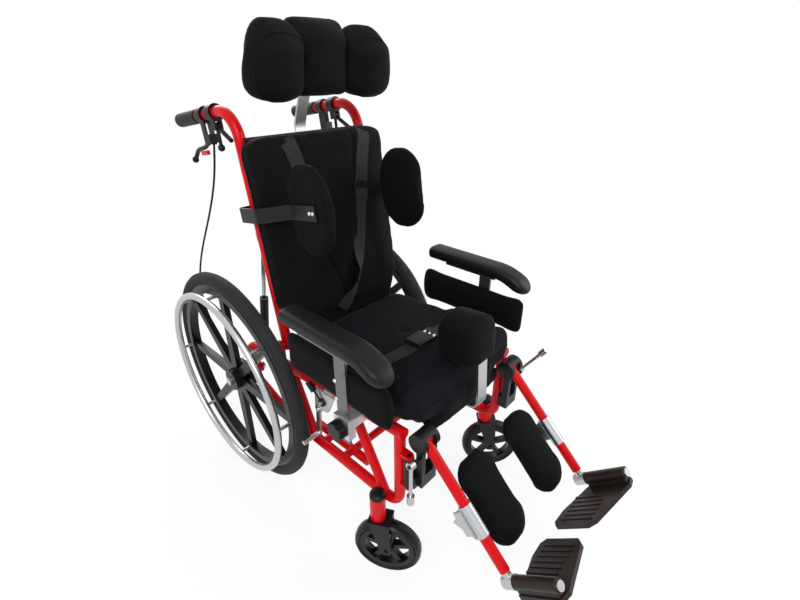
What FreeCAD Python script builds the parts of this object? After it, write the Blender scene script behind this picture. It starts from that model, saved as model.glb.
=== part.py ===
import FreeCAD
import Part

import math
import os
import re
from types import SimpleNamespace

from FreeCAD import Placement, Rotation, Vector

# Driving dimensions in millimetres and degrees. The chair faces -Y and its right side is at -X.
# Places along Y are counted forwards from the rear axle, places along Z from the floor.
SIZES = {
    "axle_y": 311.8,
    "pin_gap": 0.05,
    "pass_gap": 0.4,
    # Rear wheels
    "wheel_d": 610,
    "wheel_x": 240,
    "tyre_width": 32,
    "tyre_depth": 30,
    "rim_depth": 24,
    "rim_width": 26,
    "hub_d": 60,
    "hub_length": 48,
    "drum_d": 92,
    "drum_depth": 12,
    "spoke_count": 8,
    "spoke_root": 30,
    "spoke_tip": 20,
    "spoke_thick": 15,
    "handrim_inset": 50,
    "standoff_out": 4,
    "handrim_tube": 18,
    "handrim_offset": 46,
    "standoff_d": 10,
    "axle_d": 12,
    "axle_nut_d": 22,
    "axle_nut_thick": 8,
    # Casters
    "caster_d": 160,
    "caster_width": 30,
    "caster_tread": 14,
    "caster_hub_d": 32,
    "caster_spoke": 12,
    "caster_spokes": 5,
    "caster_x": 216,
    "caster_ahead": 523,
    "caster_trail": 22,
    "caster_turn_right": 29,
    "caster_turn_left": 41,
    "caster_axle_d": 10,
    "stem_d": 16,
    "stem_length": 56,
    "housing_d": 36,
    "housing_height": 66,
    "fork_crown": 7,
    "fork_rise": 5,
    "fork_plate": 5,
    "fork_side_gap": 3,
    # Welded side frames
    "frame_tube": 25,
    "post_tube": 24,
    "brace_tube": 22,
    "cross_tube": 20,
    "ladder_x": 155,
    "ladder_rear": 235,
    "ladder_front": 430,
    "ladder_rung_rear": 300,
    "ladder_rung_front": 375,
    "seat_cross_rear": 215,
    "seat_cross_front": 425,
    "heel_cross_behind": 7,
    "heel_cross_z": 335,
    "frame_x": 190,
    "rail_rear_ahead": 236,
    "rail_rear_z": 411,
    "rail_front_ahead": 578,
    "seat_pitch": 4.5,
    "rear_bend_ahead": -5,
    "heel_ahead": -10,
    "heel_z": 285,
    "lower_rail_z": 225,
    "lower_rear_ahead": 150,
    "front_post_ahead": 566,
    "bend_radius": 45,
    "front_brace_top": 418,
    "front_brace_foot": 524,
    "rear_brace_top": 197,
    "rear_brace_foot": 272,
    "axle_boss_d": 32,
    "axle_boss_length": 40,
    "drum_plate": 4,
    "lug_thick": 6,
    "lug_width": 20,
    "upper_lug_z": 385,
    "lower_lug_z": 300,
    "hinge_reach": 25,
    "hinge_pin_d": 10,
    # Backrest
    "pivot_ahead": 160,
    "pivot_z": 455,
    "pivot_pin_d": 14,
    "pivot_plate": 6,
    "back_angle": 9,
    "cane_x": 170,
    "cane_tube": 25,
    "cane_height": 548,
    "handle_length": 262,
    "handle_bend": 65,
    "back_bar": 18,
    "lower_bar_up": 120,
    "upper_bar_up": 430,
    "board_thick": 8,
    "board_bottom": 52,
    "board_top": 488,
    "board_width": 336,
    "back_width": 368,
    "back_bottom": 40,
    "back_top": 498,
    "back_edge": 40,
    "back_crown": 16,
    "back_corner": 40,
    "grip_d": 32,
    "grip_length": 100,
    # Gas struts
    "strut_x": 150,
    "strut_pin_d": 12,
    "strut_eye": 12,
    "strut_step_rim": 1.2,
    "strut_foot_ahead": 8,
    "strut_foot_z": 380,
    "strut_top_up": 268,
    "strut_top_behind": 38,
    "strut_barrel_d": 22,
    "strut_barrel_length": 150,
    "strut_rod_d": 10,
    "strut_rod_length": 172,
    # Seat
    "pan_width": 392,
    "pan_rear": 8,
    "pan_depth": 316,
    "pan_thick": 8,
    "seat_width": 398,
    "seat_rear": 28,
    "seat_depth": 400,
    "seat_corner": 40,
    "lip_width": 260,
    "lip_depth": 52,
    "lip_drop": 34,
    "lip_round": 16,
    "seat_edge": 52,
    "seat_crown": 14,
    # Armrests
    "arm_x": 240,
    "arm_top_z": 640,
    "arm_rear": 290,
    "arm_front": 580,
    "arm_width": 54,
    "arm_height": 32,
    "arm_droop_radius": 70,
    "arm_droop": 30,
    "post_ahead": 464,
    "post_width": 32,
    "post_thick": 6,
    "post_foot_z": 385,
    "panel_inset": 2,
    "panel_rear": 268,
    "panel_front": 592,
    "panel_bottom_z": 470,
    "panel_top_z": 574,
    "panel_edge": 16,
    "panel_crown": 8,
    "socket_wall": 6,
    "socket_foot_z": 402,
    "socket_height": 50,
    "knob_d": 42,
    "knob_thick": 20,
    "knob_stud_d": 12,
    # Wheel locks
    "lock_lever_ahead": 345,
    "lock_lever_z": 395,
    "lock_lever_length": 58,
    "lock_lever_lean": 32,
    "lock_arm_ahead": 330,
    "lock_arm_z": 368,
    "lock_shoe_d": 12,
    "lock_shoe_drop": 78,
    "lock_open_gap": 12,
    "lock_plate": 6,
    "lock_pin_d": 8,
    # Legrests
    "leg_x": 162,
    "knee_ahead": 606,
    "knee_z": 424,
    "leg_angle": 46,
    "leg_tube": 22,
    "leg_end_gap": 23,
    "leg_bore_start": 150,
    "knee_pin_d": 12,
    "knee_eye_d": 26,
    "knee_eye_width": 24,
    "hood_d": 44,
    "hood_width": 46,
    "yoke_foot_drop": 110,
    "yoke_base_height": 30,
    "yoke_arm_front": 15,
    "yoke_arm_depth": 16,
    "extension_top": 190,
    "foot_drop": 308,
    "extension_tube": 18,
    "foot_pin_d": 12,
    "foot_pin_length": 116,
    "barrel_d": 26,
    "plate_drop": 18,
    "plate_thick": 9,
    "plate_inner_x": 20,
    "sleeve_top": 144,
    "sleeve_length": 67,
    "sleeve_wall": 3,
    "calf_x": 86,
    "calf_down": 180,
    "calf_length": 194,
    "calf_width": 116,
    "calf_thick": 34,
    "leg_lever_x": 208,
    "leg_lever_z": 392,
    "leg_lever_rod": 8,
    "leg_lever_length": 84,
    "leg_lever_grip_d": 16,
    "leg_lever_grip": 22,
    "leg_lever_turn_right": 180,
    "leg_lever_turn_left": 33,
    # Headrest
    "stem_width": 30,
    "stem_thick": 5,
    "stem_foot_up": 335,
    "stem_bend_up": 505,
    "stem_behind": 17,
    "head_hinge_drop": 20,
    "head_hinge_ahead": 46,
    "head_pin_d": 8,
    "head_up": 624,
    "head_height": 142,
    "head_width": 120,
    "head_thick": 50,
    "head_crown": 14,
    "head_corner": 20,
    "head_plate": 3,
    "wing_root": 62,
    "wing_gap": 14,
    "wing_width": 104,
    "wing_thick": 62,
    "wing_crown": 20,
    "wing_corner": 40,
    "wing_turn": 14,
    # Lateral supports
    "lateral_up": 331,
    "lateral_x": 133,
    "lateral_ahead": 162,
    "lateral_length": 140,
    "lateral_height": 200,
    "lateral_thick": 30,
    "lateral_bar": 32,
    "lateral_bar_thick": 4,
    "lateral_out": 204,
    # Hand levers
    "clamp_behind": 138,
    "clamp_width": 24,
    "clamp_d": 37,
    "brake_pivot_up": 492,
    "brake_pin_d": 6,
    "lever_rod": 10,
    "recline_clamp_behind": 88,
    "recline_pivot_up": 520,
    # Pommel
    "pommel_front": 408,
    "pommel_width": 104,
    "pommel_depth": 106,
    "pommel_height": 100,
    "pommel_crown": 18,
    "pommel_corner": 28,
    "pommel_bar_front": 394,
    "pommel_bar_width": 32,
    "pommel_bar_thick": 5,
    "pommel_lift": 6.5,
    "pommel_guide_front": 300,
    "pommel_guide_rear": 230,
    "pommel_guide_wall": 4,
    # Straps and cables
    "strap_width": 38,
    "strap_lift": 2.2,
    "strap_thick": 2.5,
    "cable_d": 5,
}

ALONG_X = Vector(1, 0, 0)
ALONG_Y = Vector(0, 1, 0)
ALONG_Z = Vector(0, 0, 1)

doc = FreeCAD.newDocument("reclining_wheelchair")
sheet = doc.addObject("Spreadsheet::Sheet", "sizes")
for row, (alias, number) in enumerate(SIZES.items(), start=1):
    sheet.set(f"A{row}", alias)
    sheet.set(f"B{row}", str(number))
    sheet.setAlias(f"B{row}", alias)
doc.recompute()
size = SimpleNamespace(**{alias: float(sheet.get(alias)) for alias in SIZES})
pieces = []


def place(x, ahead, z):
    """Point in the shared frame; ahead is counted forwards from the rear axle."""
    return Vector(x, size.axle_y - ahead, z)


def bind(obj, **expressions):
    """Tie properties to the sheet: every word in an expression is one of its aliases."""
    for prop, text in expressions.items():
        obj.setExpression(prop, re.sub(r"\b([a-z]\w*)\b", r"sizes.\1", text))


def turned(axis):
    """Rotation that points an object's own Z along an axis."""
    return Rotation(ALONG_Z, axis)


def cylinder(name, start, axis, radius, height):
    """Round bar from a point along an axis; radius and height are sheet expressions."""
    obj = doc.addObject("Part::Cylinder", name)
    bind(obj, Radius=radius, Height=height)
    obj.Placement = Placement(start, turned(axis))
    return obj


def bar(name, start, end, radius):
    """Round bar between two points; the radius is a sheet expression."""
    obj = doc.addObject("Part::Cylinder", name)
    bind(obj, Radius=radius)
    obj.Height = (end - start).Length
    obj.Placement = Placement(start, turned(end - start))
    return obj


def block(name, low, high, placement=Placement()):
    """Box between two corners of a local frame."""
    obj = doc.addObject("Part::Box", name)
    obj.Length = high.x - low.x
    obj.Width = high.y - low.y
    obj.Height = high.z - low.z
    obj.Placement = placement.multiply(Placement(low, Rotation()))
    return obj


def ball(name, centre, radius):
    """Sphere whose radius is a sheet expression."""
    obj = doc.addObject("Part::Sphere", name)
    bind(obj, Radius=radius)
    obj.Placement = Placement(centre, Rotation())
    return obj


def fuse(name, parts):
    obj = doc.addObject("Part::MultiFuse", name)
    obj.Shapes = parts
    obj.Refine = True
    return obj


def cut(name, base, tool):
    obj = doc.addObject("Part::Cut", name)
    obj.Base = base
    obj.Tool = tool
    return obj


def mirrored(name, source):
    obj = doc.addObject("Part::Mirroring", name)
    obj.Source = source
    obj.Normal = ALONG_X
    return obj


def group(name, parts):
    obj = doc.addObject("Part::Compound", name)
    obj.Links = parts
    return obj


def keep(obj, label):
    """Hand an object in as a sub-part; its label names its file."""
    obj.Label = label
    pieces.append(obj)
    return obj


def keep_pair(right, label):
    """Hand in a right-hand sub-part and its mirror image on the left."""
    left = mirrored(f"mirror_{label}", right)
    keep(right, f"{label}_right")
    keep(left, f"{label}_left")
    return right, left


def rounded_path(points, radii):
    """Wire of straight runs joined by tangent arcs, one radius for each inner point."""
    edges = []
    start = points[0]
    for before, corner, after, radius in zip(points, points[1:], points[2:], radii):
        into = (corner - before).normalize()
        out = (after - corner).normalize()
        half_turn = into.getAngle(out) / 2
        reach = radius * math.tan(half_turn)
        first = corner - into * reach
        last = corner + out * reach
        inward = (out - into).normalize()
        middle = corner + inward * (radius / math.cos(half_turn) - radius)
        edges.append(Part.makeLine(start, first))
        edges.append(Part.Arc(first, middle, last).toShape())
        start = last
    edges.append(Part.makeLine(start, points[-1]))
    return Part.Wire(edges)


def shape_piece(name, shape, placement=Placement()):
    obj = doc.addObject("Part::Feature", name)
    obj.Shape = shape
    obj.Placement = placement
    return obj


def swept(name, path, profile):
    """Solid swept along a path from a profile object that stands at its start."""
    spine = shape_piece(f"{name}_path", path)
    obj = doc.addObject("Part::Sweep", name)
    obj.Sections = [profile]
    obj.Spine = (spine, [f"Edge{number}" for number in range(1, len(path.Edges) + 1)])
    obj.Solid = True
    obj.Transition = "Right corner"
    return obj


def tube(name, points, radii, radius):
    """Bent round tube through points; the tube radius is a sheet expression."""
    profile = doc.addObject("Part::Circle", f"{name}_profile")
    bind(profile, Radius=radius)
    profile.Placement = Placement(points[0], turned(points[1] - points[0]))
    return swept(name, rounded_path(points, radii), profile)


def strip(name, points, radii, width, thick, across):
    """Bent flat bar through points; across is the direction of its width."""
    along = (points[1] - points[0]).normalize()
    side = across.cross(along)
    corners = []
    for wide, deep in ((-1, -1), (1, -1), (1, 1), (-1, 1), (-1, -1)):
        corners.append(points[0] + across * (wide * width / 2) + side * (deep * thick / 2))
    profile = shape_piece(f"{name}_profile", Part.makePolygon(corners))
    return swept(name, rounded_path(points, radii), profile)


def section(at, half_width, low, high, bulge, crown, sole):
    """Closed section of a pad across its length: flat or rounded sole, bulging sides, crowned top."""
    middle = (low + high) / 2
    right_low = Vector(half_width, at, low)
    left_low = Vector(-half_width, at, low)
    right_high = Vector(half_width, at, high)
    left_high = Vector(-half_width, at, high)
    if sole > 0:
        bottom = Part.Arc(left_low, Vector(0, at, low - sole), right_low).toShape()
    else:
        bottom = Part.makeLine(left_low, right_low)
    right = Part.Arc(right_low, Vector(half_width + bulge, at, middle), right_high).toShape()
    top = Part.Arc(right_high, Vector(0, at, high + crown), left_high).toShape()
    left = Part.Arc(left_high, Vector(-half_width - bulge, at, middle), left_low).toShape()
    return Part.Wire([bottom, right, top, left])


def cushion(width, length, edge, crown, corner, sole=0.0, bulge=4.0):
    """Pad in its own XY plane: width along X, length along Y, sole at Z 0, rounded corners.

    Rows of sections follow a corner circle at both ends, where the top also sinks.
    """
    half_length = length / 2
    straight = half_length - corner
    shares = (-0.8, -0.4, 0.0, 0.4, 0.8) if straight > corner else (0.0,)
    rows = [(share * straight, 0.0, 1.0) for share in shares]
    for degrees in (0, 25, 50, 80):
        angle = math.radians(degrees)
        reach = half_length - corner * (1 - math.sin(angle))
        inset = corner * (1 - math.cos(angle))
        rise = math.cos(angle)
        rows.append((reach, inset, rise))
        rows.insert(0, (-reach, inset, rise))
    wires = []
    for at, inset, rise in rows:
        sunk = 0.25 * edge * (1 - rise)
        share = 0.25 + 0.75 * rise
        low = sunk if sole > 0 else 0.0
        half_width = width / 2 - inset - bulge
        wires.append(section(at, half_width, low, edge - sunk, bulge, crown * share, sole * share))
    return Part.makeLoft(wires, True, False)


def plate(name, points, thickness):
    """Flat plate: closed outline through points, pushed along a thickness vector."""
    outline = shape_piece(f"{name}_outline", Part.makePolygon(points + points[:1]))
    obj = doc.addObject("Part::Extrusion", name)
    obj.Base = outline
    obj.Dir = thickness
    obj.DirMode = "Custom"
    obj.LengthFwd = thickness.Length
    obj.Solid = True
    return obj


def ribbon(name, stops, width, thick, placement):
    """Flat strap through stops of centre, across and outward directions."""
    wires = []
    for centre, across, outward in stops:
        near = centre - across * (width / 2)
        far = centre + across * (width / 2)
        lift = outward * thick
        wires.append(Part.makePolygon([near, far, far + lift, near + lift, near]))
    return shape_piece(name, Part.makeLoft(wires, True, True), placement)


def origin_feature(body, role):
    return next(item for item in body.Origin.OriginFeatures if item.Role == role)


def outline_sketch(body, name, role, points, shift=0.0):
    """Sketch of straight lines through points on one of the body's own origin planes."""
    sketch = body.newObject("Sketcher::SketchObject", name)
    sketch.AttachmentSupport = [(origin_feature(body, role), "")]
    sketch.MapMode = "FlatFace"
    sketch.AttachmentOffset = Placement(Vector(0, 0, shift), Rotation())
    for begin, end in zip(points, points[1:] + points[:1]):
        sketch.addGeometry(Part.LineSegment(Vector(*begin, 0), Vector(*end, 0)), False)
    return sketch


def revolved(body, name, points):
    """Ring in a body from points of place along X and radius."""
    sketch = outline_sketch(body, f"{name}_sketch", "XZ_Plane", points)
    feature = body.newObject("PartDesign::Revolution", name)
    feature.Profile = sketch
    feature.ReferenceAxis = (sketch, ["H_Axis"])
    feature.Angle = 360
    return feature


def spoked_wheel(name, hub, rim, spoke, thick, count):
    """Wheel about X: hub ring, spokes in a polar pattern, rim ring."""
    body = doc.addObject("PartDesign::Body", name)
    revolved(body, f"{name}_hub", hub)
    sketch = outline_sketch(body, f"{name}_spoke_sketch", "YZ_Plane", spoke, -thick / 2)
    arm = body.newObject("PartDesign::Pad", f"{name}_spoke")
    arm.Profile = sketch
    arm.Length = thick
    pattern = body.newObject("PartDesign::PolarPattern", f"{name}_spokes")
    pattern.Originals = [arm]
    pattern.Axis = (origin_feature(body, "X_Axis"), [""])
    pattern.Angle = 360
    bind(pattern, Occurrences=count)
    body.Tip = pattern
    revolved(body, f"{name}_rim", rim)
    doc.recompute()
    return body


def ring(name, points):
    """Turned ring about X as a body of its own."""
    body = doc.addObject("PartDesign::Body", name)
    revolved(body, f"{name}_turned", points)
    return body


def rail_z(ahead):
    """Height of the seat rail's centre line."""
    return size.rail_rear_z + (ahead - size.rail_rear_ahead) * math.tan(math.radians(size.seat_pitch))


def rail_point(x, ahead):
    return place(x, ahead, rail_z(ahead))


axle_z = size.wheel_d / 2
tube_r = size.frame_tube / 2
hinge_ahead = size.front_post_ahead + size.hinge_reach
housing_z = size.caster_d + size.fork_rise + size.fork_crown + size.pass_gap
drum_plate = size.drum_plate
boss_half = size.axle_boss_length / 2
head_hinge_up = size.head_up - size.head_hinge_drop
leg_length = size.foot_drop - size.leg_end_gap

# Local frames: the seat lies on the rails, the backrest leans from its pivot, a leg hangs from its knee.
on_seat = Placement(rail_point(0, size.rail_rear_ahead), Rotation(ALONG_X, -size.seat_pitch))
on_seat = on_seat.multiply(Placement(Vector(0, 0, tube_r + 0.3), Rotation()))
on_back = Placement(place(0, size.pivot_ahead, size.pivot_z), Rotation(ALONG_X, -size.back_angle))
on_leg = Placement(place(0, size.knee_ahead, size.knee_z), Rotation(ALONG_X, -size.leg_angle))
FACE_UP = Rotation(ALONG_X, 90)
FACE_IN = Rotation(ALONG_Y, 90)


def back_point(x, behind, up):
    """Point given in the backrest's frame."""
    return on_back.multVec(Vector(x, behind, up))


def leg_point(x, behind, down):
    """Point given in the leg's frame, counted down from the knee."""
    return on_leg.multVec(Vector(x, behind, -down))


BACK_BEHIND = on_back.Rotation.multVec(ALONG_Y)
BACK_UP = on_back.Rotation.multVec(ALONG_Z)
LEG_BEHIND = on_leg.Rotation.multVec(ALONG_Y)
LEG_DOWN = on_leg.Rotation.multVec(Vector(0, 0, -1))


def hanger_lug(name, z):
    """Lug on the front post that carries the hanger's hinge pin."""
    low = place(-size.frame_x - size.lug_width / 2, hinge_ahead, z)
    high = place(-size.frame_x + size.lug_width / 2, size.front_post_ahead, z + size.lug_thick)
    arm = block(f"{name}_arm", low, high)
    end = cylinder(f"{name}_end", place(-size.frame_x, hinge_ahead, z), ALONG_Z, "lug_width / 2", "lug_thick")
    return [arm, end]


def side_frame():
    """Right side frame: bent seat-to-lower tube, front post, braces, housings, plates and pins."""
    x = -size.frame_x
    loop_points = [
        rail_point(x, size.rail_front_ahead),
        rail_point(x, size.rear_bend_ahead),
        place(x, size.heel_ahead, size.heel_z),
        place(x, size.lower_rear_ahead, size.lower_rail_z),
        place(x, size.caster_ahead, size.lower_rail_z),
    ]
    loop = tube("side_loop", loop_points, [size.bend_radius] * 3, "frame_tube / 2")
    post_points = [
        place(x, size.caster_ahead, size.lower_rail_z),
        place(x, size.front_post_ahead, size.lower_rail_z),
        rail_point(x, size.front_post_ahead),
    ]
    post = tube("front_post", post_points, [size.front_post_ahead - size.caster_ahead - 4], "post_tube / 2")
    front_foot = place(x, size.front_brace_foot, size.lower_rail_z)
    front_brace = bar("front_brace", rail_point(x, size.front_brace_top), front_foot, "brace_tube / 2")
    rear_foot = place(x, size.rear_brace_foot, size.lower_rail_z)
    rear_brace = bar("rear_brace", rail_point(x, size.rear_brace_top), rear_foot, "brace_tube / 2")
    housing_foot = place(-size.caster_x, size.caster_ahead, housing_z)
    housing = cylinder("caster_housing", housing_foot, ALONG_Z, "housing_d / 2", "housing_height")
    boss_start = place(x - boss_half, 0, axle_z)
    boss = cylinder("axle_boss", boss_start, ALONG_X, "axle_boss_d / 2", "axle_boss_length")
    pivot = place(x - size.pivot_plate / 2, size.pivot_ahead, size.pivot_z)
    ear_low = place(x - size.pivot_plate / 2, size.pivot_ahead + 15, rail_z(size.pivot_ahead))
    ear_high = place(x + size.pivot_plate / 2, size.pivot_ahead - 15, size.pivot_z)
    ear = block("recline_ear", ear_low, ear_high)
    ear_end = cylinder("recline_ear_end", pivot, ALONG_X, "pivot_pin_d / 2 + 8", "pivot_plate")
    ear_boss = cylinder("recline_ear_boss", pivot, ALONG_X, "pivot_pin_d / 2 + 5", "pivot_plate + 4")
    pin_end = place(-size.cane_x + size.cane_tube / 2 + 2, size.pivot_ahead, size.pivot_z)
    pin = bar("recline_pin", pivot, pin_end, "pivot_pin_d / 2")
    strut_root = place(x, size.strut_foot_ahead, size.strut_foot_z)
    eye_half = size.strut_eye / 2 + size.pass_gap
    strut_end = place(-size.strut_x + eye_half, size.strut_foot_ahead, size.strut_foot_z)
    strut_pin = bar("strut_pin", strut_root, strut_end, "strut_pin_d / 2")
    step_r = "strut_pin_d / 2 + strut_step_rim"
    strut_cap = cylinder("strut_pin_cap", strut_end, ALONG_X, step_r, "pass_gap * 5")
    strut_step_end = place(-size.strut_x - eye_half, size.strut_foot_ahead, size.strut_foot_z)
    strut_step = bar("strut_pin_step", strut_root, strut_step_end, step_r)
    solids = [loop, post, front_brace, rear_brace, housing, boss, ear, ear_end, ear_boss, pin]
    solids += [strut_pin, strut_cap, strut_step]
    solids += hanger_lug("upper_lug", size.upper_lug_z) + hanger_lug("lower_lug", size.lower_lug_z)
    weldment = fuse("side_weldment", solids)
    stem_bore = cylinder("stem_bore", housing_foot, ALONG_Z, "stem_d / 2 + pin_gap", "housing_height")
    axle_bore = cylinder("axle_bore", boss_start, ALONG_X, "axle_d / 2 + pin_gap", "axle_boss_length")
    hinge_foot = place(x, hinge_ahead, size.lower_lug_z)
    hinge_bore = cylinder("hinge_bore", hinge_foot, ALONG_Z, "hinge_pin_d / 2 + pin_gap", "upper_lug_z")
    return cut("side_frame", weldment, group("side_bores", [stem_bore, axle_bore, hinge_bore]))


def cross_tubes(sides):
    """Tubes across between the side frames, coped to them, with the ladder's inner rails."""
    tubes = []
    rows = [
        (size.ladder_rung_rear, size.lower_rail_z),
        (size.ladder_rung_front, size.lower_rail_z),
        (size.seat_cross_rear, rail_z(size.seat_cross_rear)),
        (size.seat_cross_front, rail_z(size.seat_cross_front)),
        (-size.heel_cross_behind, size.heel_cross_z),
    ]
    for number, (ahead, z) in enumerate(rows):
        start = place(-size.frame_x, ahead, z)
        tubes.append(cylinder(f"cross_{number}", start, ALONG_X, "cross_tube / 2", "2 * frame_x"))
    for side in (-1, 1):
        rear = place(side * size.ladder_x, size.ladder_rear, size.lower_rail_z)
        front = place(side * size.ladder_x, size.ladder_front, size.lower_rail_z)
        tubes.append(bar(f"inner_rail_{side + 1}", rear, front, "cross_tube / 2 + 1"))
    return cut("cross_members", fuse("cross_raw", tubes), sides)


def rear_axles():
    """Axle pin, nut and drum back plate of each side."""
    x_out = -size.wheel_x - size.hub_length / 2 - size.pass_gap
    x_in = -size.frame_x + boss_half
    pin = bar("axle_pin", place(x_out, 0, axle_z), place(x_in, 0, axle_z), "axle_d / 2")
    nut_start = place(x_out - size.axle_nut_thick, 0, axle_z)
    nut = cylinder("axle_nut", nut_start, ALONG_X, "axle_nut_d / 2", "axle_nut_thick")
    head = cylinder("axle_head", place(x_in, 0, axle_z), ALONG_X, "axle_nut_d / 2", "axle_nut_thick")
    back_start = place(-size.frame_x - boss_half - drum_plate, 0, axle_z)
    back = shape_piece("drum_back", Part.makeCylinder(size.drum_d / 2 - 2, drum_plate, back_start, ALONG_X))
    anchor_low = place(-size.frame_x - boss_half - 2, -28, axle_z + 7)
    anchor = block("cable_anchor", anchor_low, place(-size.frame_x - boss_half + 8, -46, axle_z + 21))
    right = fuse("axle_right", [pin, nut, head, back, anchor])
    return group("axles", [right, mirrored("axle_left", right)])


panel_outer_x = -size.arm_x - size.panel_inset


def armrest_socket(side):
    """Square socket for the armrest post, carried by an arm coped to the seat rail."""
    post_x = panel_outer_x - size.post_thick / 2
    y = size.axle_y - size.post_ahead
    wall = size.socket_wall
    half = Vector(size.post_thick / 2 + wall + 0.3, size.post_width / 2 + wall + 0.3, 0)
    foot = Vector(post_x, y, size.socket_foot_z)
    rise = Vector(0, 0, size.socket_height)
    body = block("socket_body", foot - half, foot + half + rise)
    arm_low = Vector(post_x, y - 14, rail_z(size.post_ahead) - 11)
    arm_high = Vector(-size.frame_x, y + 14, rail_z(size.post_ahead) + 11)
    arm = block("socket_arm", arm_low, arm_high)
    slot_half = Vector(size.post_thick / 2 + 0.3, size.post_width / 2 + 0.3, 0)
    slot = block("socket_slot", foot - slot_half, foot + slot_half + rise)
    stud_z = size.socket_foot_z + size.socket_height / 2
    stud_start = Vector(post_x, y, stud_z)
    outward = Vector(-1, 0, 0)
    stud = cylinder("socket_stud_hole", stud_start, outward, "knob_stud_d / 2 + pin_gap", "socket_height")
    return cut("socket", fuse("socket_raw", [body, arm]), group("socket_tools", [slot, stud, side]))


def lock_plate(side):
    """Plate under the seat rail with the two pivot pins of the wheel lock."""
    x = -size.frame_x - tube_r - 1.5 - size.lock_plate
    outer = Vector(-1, 0, 0)
    points = [
        place(x, size.lock_lever_ahead + 40, size.lock_lever_z + 30),
        place(x, size.lock_lever_ahead - 27, size.lock_lever_z + 30),
        place(x, size.lock_arm_ahead - 18, size.lock_arm_z - 10),
        place(x, size.lock_arm_ahead + 30, size.lock_arm_z + 4),
    ]
    sheet_plate = plate("lock_sheet", points, Vector(size.lock_plate, 0, 0))
    clamp_low = place(x + size.lock_plate, size.lock_lever_ahead + 33, size.lock_lever_z + 19)
    clamp_high = place(-size.frame_x, size.lock_lever_ahead, size.lock_lever_z + 33)
    clamp = block("lock_clamp", clamp_low, clamp_high)
    lever_root = place(x, size.lock_lever_ahead, size.lock_lever_z)
    arm_root = place(x, size.lock_arm_ahead, size.lock_arm_z)
    lever_pin = cylinder("lock_lever_pin", lever_root, outer, "lock_pin_d / 2", "lock_plate + 3")
    arm_pin = cylinder("lock_arm_pin", arm_root, outer, "lock_pin_d / 2", "lock_plate + 3")
    return cut("lock_mount", fuse("lock_mount_raw", [sheet_plate, clamp, lever_pin, arm_pin]), side)


def frame_brackets(side):
    """Armrest sockets and wheel-lock plates of both sides."""
    socket = armrest_socket(side)
    mount = lock_plate(side)
    return group(
        "brackets", [socket, mirrored("socket_left", socket), mount, mirrored("lock_mount_left", mount)]
    )


seat_sole = size.pan_thick + size.pass_gap
lip_front = size.pan_rear - size.pan_depth - size.pass_gap - size.lip_depth
bar_room = size.pommel_bar_thick / 2 + size.pass_gap
pommel_bar_z = -size.lip_drop - size.pass_gap - bar_room


def seat_pan():
    """Board on the rails with the pommel's guide under it."""
    half = size.pan_width / 2
    low = Vector(-half, size.pan_rear - size.pan_depth, 0)
    board = block("pan_board", low, Vector(half, size.pan_rear, size.pan_thick), on_seat)
    guide_half = size.pommel_bar_width / 2 + size.pommel_guide_wall
    guide_floor = pommel_bar_z - size.pommel_guide_wall - bar_room
    guide_low = Vector(-guide_half, -size.pommel_guide_front, guide_floor)
    guide = block("pan_guide", guide_low, Vector(guide_half, -size.pommel_guide_rear, 0), on_seat)
    slot_half = size.pommel_bar_width / 2 + size.pass_gap
    slot_low = Vector(-slot_half, -size.pommel_guide_front - 1, pommel_bar_z - bar_room)
    slot_high = Vector(slot_half, 1 - size.pommel_guide_rear, pommel_bar_z + bar_room)
    slot = block("pan_slot", slot_low, slot_high, on_seat)
    return cut("pan", fuse("pan_raw", [board, guide]), slot)


def seat_cushion():
    """Seat cushion with crowned top and rounded corners, and the roll that hangs before the pan."""
    shape = cushion(size.seat_width, size.seat_depth, size.seat_edge, size.seat_crown, size.seat_corner)
    main_at = Placement(Vector(0, size.seat_rear - size.seat_depth / 2, seat_sole), Rotation())
    main = shape_piece("seat_pad", shape, on_seat.multiply(main_at))
    height = size.lip_drop + seat_sole - size.pass_gap
    raw = Part.makeBox(size.lip_width, size.lip_depth, height)
    low_edges = [edge for edge in raw.Edges if edge.BoundBox.ZMax < height / 2]
    lip_at = Placement(Vector(-size.lip_width / 2, lip_front, -size.lip_drop), Rotation())
    lip = shape_piece("seat_lip", raw.makeFillet(size.lip_round, low_edges), on_seat.multiply(lip_at))
    return group("seat_set", [main, lip])


def seat_top(x):
    """Height of the cushion's top over the pan, across its straight part."""
    half = size.seat_width / 2 - 4
    return seat_sole + size.seat_edge + size.seat_crown * (1 - (x / half) ** 2)


def lap_belt():
    """Two belt halves over the seat and down its sides, with a buckle between them."""
    y = -150.0
    parts = []
    for side in (-1, 1):
        inner = 34.0
        stops = []
        for x in (inner, 90.0, 150.0, 186.0):
            centre = Vector(side * x, y, seat_top(x) + 1.0)
            stops.append((centre, ALONG_Y, ALONG_Z))
        edge = size.seat_width / 2 + 2.5
        corner = Vector(side, 0, 1).normalize()
        stops.append((Vector(side * edge, y, seat_sole + size.seat_edge - 2), ALONG_Y, corner))
        stops.append((Vector(side * edge, y, seat_sole + 12), ALONG_Y, Vector(side, 0, 0)))
        parts.append(ribbon(f"belt_{side + 1}", stops, size.strap_width, size.strap_thick, on_seat))
    low = Vector(-32, y - 24, seat_top(0) + 1)
    parts.append(block("buckle", low, Vector(32, y + 24, seat_top(0) + 15), on_seat))
    return group("belt", parts)


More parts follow.
